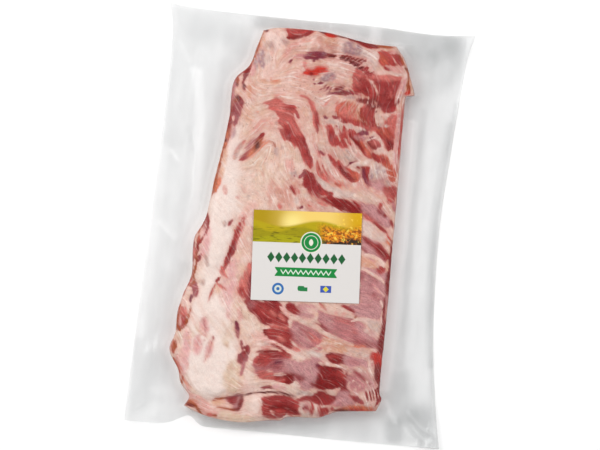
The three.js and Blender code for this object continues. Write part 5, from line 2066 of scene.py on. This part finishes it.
@dataclass(frozen=True)
class LabelFinish:
    """White paper with plain print: a band of hills, a round badge, a garland, a ribbon and three marks."""

    paper: str = "d8d4d1"
    shadow: str = "bfbab6"
    cream: str = "e2dfd0"
    green: str = "128038"
    rough: float = 0.45
    picture: tuple[float, ...] = (0, 28.2, 60, 15.6)  # middle and half sizes, mm
    badge: Point = (4, 13.5)
    garland: float = -1.5  # height of the row of lozenges
    ribbon: tuple[float, ...] = (0, -15.2, 29.5, 4.3)
    ball: Point = (-26, -31.5)
    stamp: Point = (19.5, -30.5)

    def material(self) -> bpy.types.Material:
        """Builds the material, in millimetres from the label's middle."""
        sh = Shader("printed_paper")
        own = sh.node("ShaderNodeUVMap", {"uv_map": "print"}, {})
        split = sh.node("ShaderNodeSeparateXYZ", {}, {0: own}, 0)
        x = (split - 0.5) * Label.WIDTH
        y = (Signal(sh, split.socket.node.outputs[1]) - 0.5) * Label.HEIGHT
        grain = sh.noise(4000, sh.place(), 2)

        def disc(cx: float, cy: float, radius: float, soft: float = 0.2) -> Signal:
            """A round field."""
            dx, dy = x - cx, y - cy
            return 1.0 - (dx * dx + dy * dy).power(0.5).step(radius - soft, radius + soft)

        def box(cx: float, cy: float, half_x: float, half_y: float) -> Signal:
            """A rectangular field."""
            return 1.0 - (abs(x - cx) - half_x).most(abs(y - cy) - half_y).step(-0.15, 0.15)

        def below(level: Any, soft: float) -> Signal:
            """What lies under a level."""
            return 1.0 - (y - level).step(-soft, soft)

        def wave(rate: float, shift: float) -> Signal:
            """A soft hill line across the band."""
            return (x * rate + shift).sum_of("SINE", x * rate + shift)

        def zigzag(shift: float, reach: float) -> Signal:
            """A line that runs up and down between 0 and its reach."""
            return sh.node("ShaderNodeMath", {"operation": "PINGPONG"}, {0: x + shift, 1: reach})

        def blotches(width: float, height: float, shift: float) -> Signal:
            """Soft noise in the print, spread over 0 to 1."""
            place = sh.node("ShaderNodeCombineXYZ", {}, {0: x / width, 1: y / height, 2: shift})
            return (sh.noise(1.0, place, 3) - 0.5) * 2.4 + 0.5

        def printed(ground: Signal, *layers: tuple[Signal, Any]) -> Signal:
            """Prints fields one over the other.

            Args:
                ground: what they are printed on.
                layers: each field with its colour, as a code or as a signal.

            Returns:
                The printed colour.
            """
            for field, ink in layers:
                ground = sh.blend(field, ground, linear(ink) if isinstance(ink, str) else ink)
            return ground

        leaves, embers = blotches(4, 5, 5.0), blotches(3, 2.4, 8.0)
        warm = printed(
            sh.blend(embers.step(0.35, 0.6), linear("8e4c16"), linear("e08a1c")),
            (leaves.step(0.6, 0.85), "efc545"),
            (below(wave(0.16, 1.0) * 2 + 17, 2), "36261a"),
            (embers.step(0.62, 0.8) * below(22, 4) * 0.8, "dc7414"),
        )
        hills = printed(
            sh.blend(x.step(-44, 2), linear("ab8d08"), linear("ecc96c")),
            (x.step(18, 48), "cf9f0a"),
            (disc(-14, 31, 9, 8), "f2dc86"),
            (below(wave(0.09, 0.6) * 3 + 31, 1.6), "b09c06"),
            (below(wave(0.12, 2.2) * 2.6 + 25, 1.2), "988c04"),
            (below(wave(0.1, 4.0) * 2 + 18, 1.0), "a39b06"),
            (blotches(9, 1.6, 2.0).step(0.5, 0.95) * below(27, 6) * 0.8, "575002"),
            (x.step(6, 20) * below(wave(0.08, 2.0) * 4 + 31, 4), warm),
            ((leaves - 0.1).step(0.55, 0.8) * x.step(22, 30) * 0.8, "efca50"),
        )
        badge_x, badge_y = self.badge
        _, ribbon_y, ribbon_half, _ = self.ribbon
        stamp_x, stamp_y = self.stamp
        tails = 1.0 - (abs(abs(x) - ribbon_half) + abs(y - ribbon_y) * 0.7).step(2.2, 2.6)
        colour = printed(
            sh.blend((grain - 0.5) * 0.1 + 0.05, linear(self.paper), linear(self.shadow)),
            (box(*self.picture), hills),
            (disc(*self.badge, 10.2), self.cream),
            (disc(*self.badge, 9.2), self.green),
            (disc(*self.badge, 6.8) * (1.0 - disc(*self.badge, 6.2)), self.cream),
            (disc(badge_x - 1.8, badge_y, 3.8) * disc(badge_x + 1.8, badge_y, 3.8), self.cream),
            ((1.0 - (zigzag(41.25, 3.75) * 0.9 + abs(y - self.garland) * 0.62).step(2.9, 3.4))
             * box(0, self.garland, 37.6, 5.4), "1c5a30"),
            (box(*self.ribbon) * (1.0 - tails), self.green),
            ((1.0 - abs(y - ribbon_y - (zigzag(60, 2.4) * 1.5 - 1.8)).step(0.6, 1.1))
             * box(0, ribbon_y, 24, 2.4), "d3e0d0"),
            (disc(*self.ball, 5.6), "2f68a8"),
            (disc(*self.ball, 3.4) * (1.0 - disc(*self.ball, 1.6)), "cfd6cc"),
            (disc(-4, -30.5, 3.4) * box(-3, -30.5, 5, 2.4), "1f7840"),
            (box(-1.5, -31.2, 3.6, 1.9), "1f7840"),
            (box(*self.stamp, 5.2, 3.3), "3b55a8"),
            (1.0 - (abs(x - stamp_x) + abs(y - stamp_y)).step(2.6, 3.0), "d8cc3c"),
        )
        return sh.finish({
            "Base Color": colour,
            "Roughness": self.rough + (grain - 0.5) * 0.1,
            "Specular IOR Level": 0.2,
            "Normal": sh.bump(grain, 0.15, 0.0002),
        })


@dataclass(frozen=True)
class FloorFinish:
    """Plain pale studio floor."""

    code: str = "fbfbfb"
    cloud: str = "eeeeee"

    def material(self) -> bpy.types.Material:
        """Builds the material."""
        sh = Shader("studio_floor")
        soft = sh.noise(3, sh.place(), 2)
        colour = sh.blend(soft * 0.04, linear(self.code), linear(self.cloud))
        return sh.finish({"Base Color": colour, "Roughness": 0.9, "Specular IOR Level": 0.1})


# ---------------------------------------------------------------- stage


@dataclass(frozen=True)
class Lamp:
    """A soft studio light.

    Attributes:
        name: its name.
        azimuth: direction it comes from, degrees anticlockwise from +X.
        elevation: its height over the horizon, degrees.
        power: watts.
        size: side of its square face, metres.
    """

    name: str
    azimuth: float
    elevation: float
    power: float
    size: float

    DISTANCE = 2.2

    def hang(self) -> None:
        """Adds the light, turned to the pack."""
        data = bpy.data.lights.new(self.name, "AREA")
        data.energy, data.size = self.power, self.size
        lamp = bpy.data.objects.new(self.name, data)
        turn, lift = math.radians(self.azimuth), math.radians(self.elevation)
        away = Vector((math.cos(turn) * math.cos(lift), math.sin(turn) * math.cos(lift), math.sin(lift)))
        lamp.location = away * self.DISTANCE
        lamp.rotation_euler = away.to_track_quat("Z", "Y").to_euler()
        bpy.context.scene.collection.objects.link(lamp)


@dataclass(frozen=True)
class Stage:
    """Floor, lights and camera."""

    lamps: tuple[Lamp, ...] = (
        Lamp("key", 150, 52, 36, 1.6),
        Lamp("fill", -20, 45, 17, 1.8),
        Lamp("back", 60, 40, 10, 1.4),
    )
    world: float = 0.32
    floor_side: float = 9.0
    floor_height: float = -0.0004  # just under the pack, metres
    picture_width: float = 0.573  # width of the scene in the picture, metres
    distance: float = 3.0
    aim: tuple[float, ...] = (-0.00236, 0.00149, 0.012)  # what the camera looks down on, metres
    roll: float = math.radians(5.7)

    SENSOR = 36  # width, mm
    CLIP = 20  # how far the camera sees, metres

    def build(self) -> None:
        """Adds everything that isn't the object."""
        self.spread_floor()
        self.light()
        self.place_camera()

    def spread_floor(self) -> None:
        """Adds the floor."""
        work = bmesh.new()
        bmesh.ops.create_grid(work, x_segments=8, y_segments=8, size=self.floor_side / 2)
        bmesh.ops.translate(work, vec=(0, 0, self.floor_height), verts=work.verts)
        mesh = bpy.data.meshes.new("floor")
        work.to_mesh(mesh)
        work.free()
        floor = bpy.data.objects.new("floor", mesh)
        bpy.context.scene.collection.objects.link(floor)
        mesh.materials.append(FloorFinish().material())
        floor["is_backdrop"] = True

    def light(self) -> None:
        """Adds the lamps and the pale surroundings."""
        for lamp in self.lamps:
            lamp.hang()
        world = bpy.data.worlds.new("studio")
        world.use_nodes = True
        background = world.node_tree.nodes["Background"]
        background.inputs["Color"].default_value = (1, 1, 1, 1)
        background.inputs["Strength"].default_value = self.world
        bpy.context.scene.world = world
        bpy.context.scene.view_settings.view_transform = "Standard"

    def place_camera(self) -> None:
        """Adds the camera, straight above the pack."""
        data = bpy.data.cameras.new("camera")
        data.sensor_width = self.SENSOR
        data.lens = self.SENSOR * self.distance / self.picture_width
        data.clip_end = self.CLIP
        camera = bpy.data.objects.new("camera", data)
        camera.location = (self.aim[0], self.aim[1], self.distance + self.aim[2])
        camera.rotation_euler = (0, 0, self.roll)
        bpy.context.scene.collection.objects.link(camera)
        bpy.context.scene.camera = camera


# ---------------------------------------------------------------- assembly


def settle(piece: bpy.types.Object, nodes: Sequence[str],
           finish: Callable[[], bpy.types.Material]) -> None:
    """Dresses a piece and fixes it to the frame.

    Args:
        piece: the piece.
        nodes: the frame's solids that it stands for.
        finish: what makes its material.
    """
    piece.data.materials.clear()
    piece.data.materials.append(finish())
    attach(piece, "root")
    if nodes:
        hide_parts(*nodes)
    piece.data.calc_loop_triangles()
    log.info("%s: %d triangles", piece.name, len(piece.data.loop_triangles))


def main() -> None:
    """Builds the pack and its stage."""
    canvas = Canvas()
    surface = Surface(canvas)
    rack = Rack(surface=surface)
    meat = rack.build()
    rack.tissues(meat, canvas)
    settle(meat, ("pouch",), MeatFinish().material)
    film = Film(surface=surface)
    pouch = film.build()
    film.clarity(pouch)
    settle(pouch, ("pouch",), FilmFinish().material)
    label = Label().build(surface)
    settle(label, ("label",), LabelFinish().material)
    Stage().build()
    boxes = {"cad": CAD_BOX, "scene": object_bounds()}
    {name: [list(corner) for corner in box] for name, box in boxes.items()}


if __name__ == "__main__":
    main()
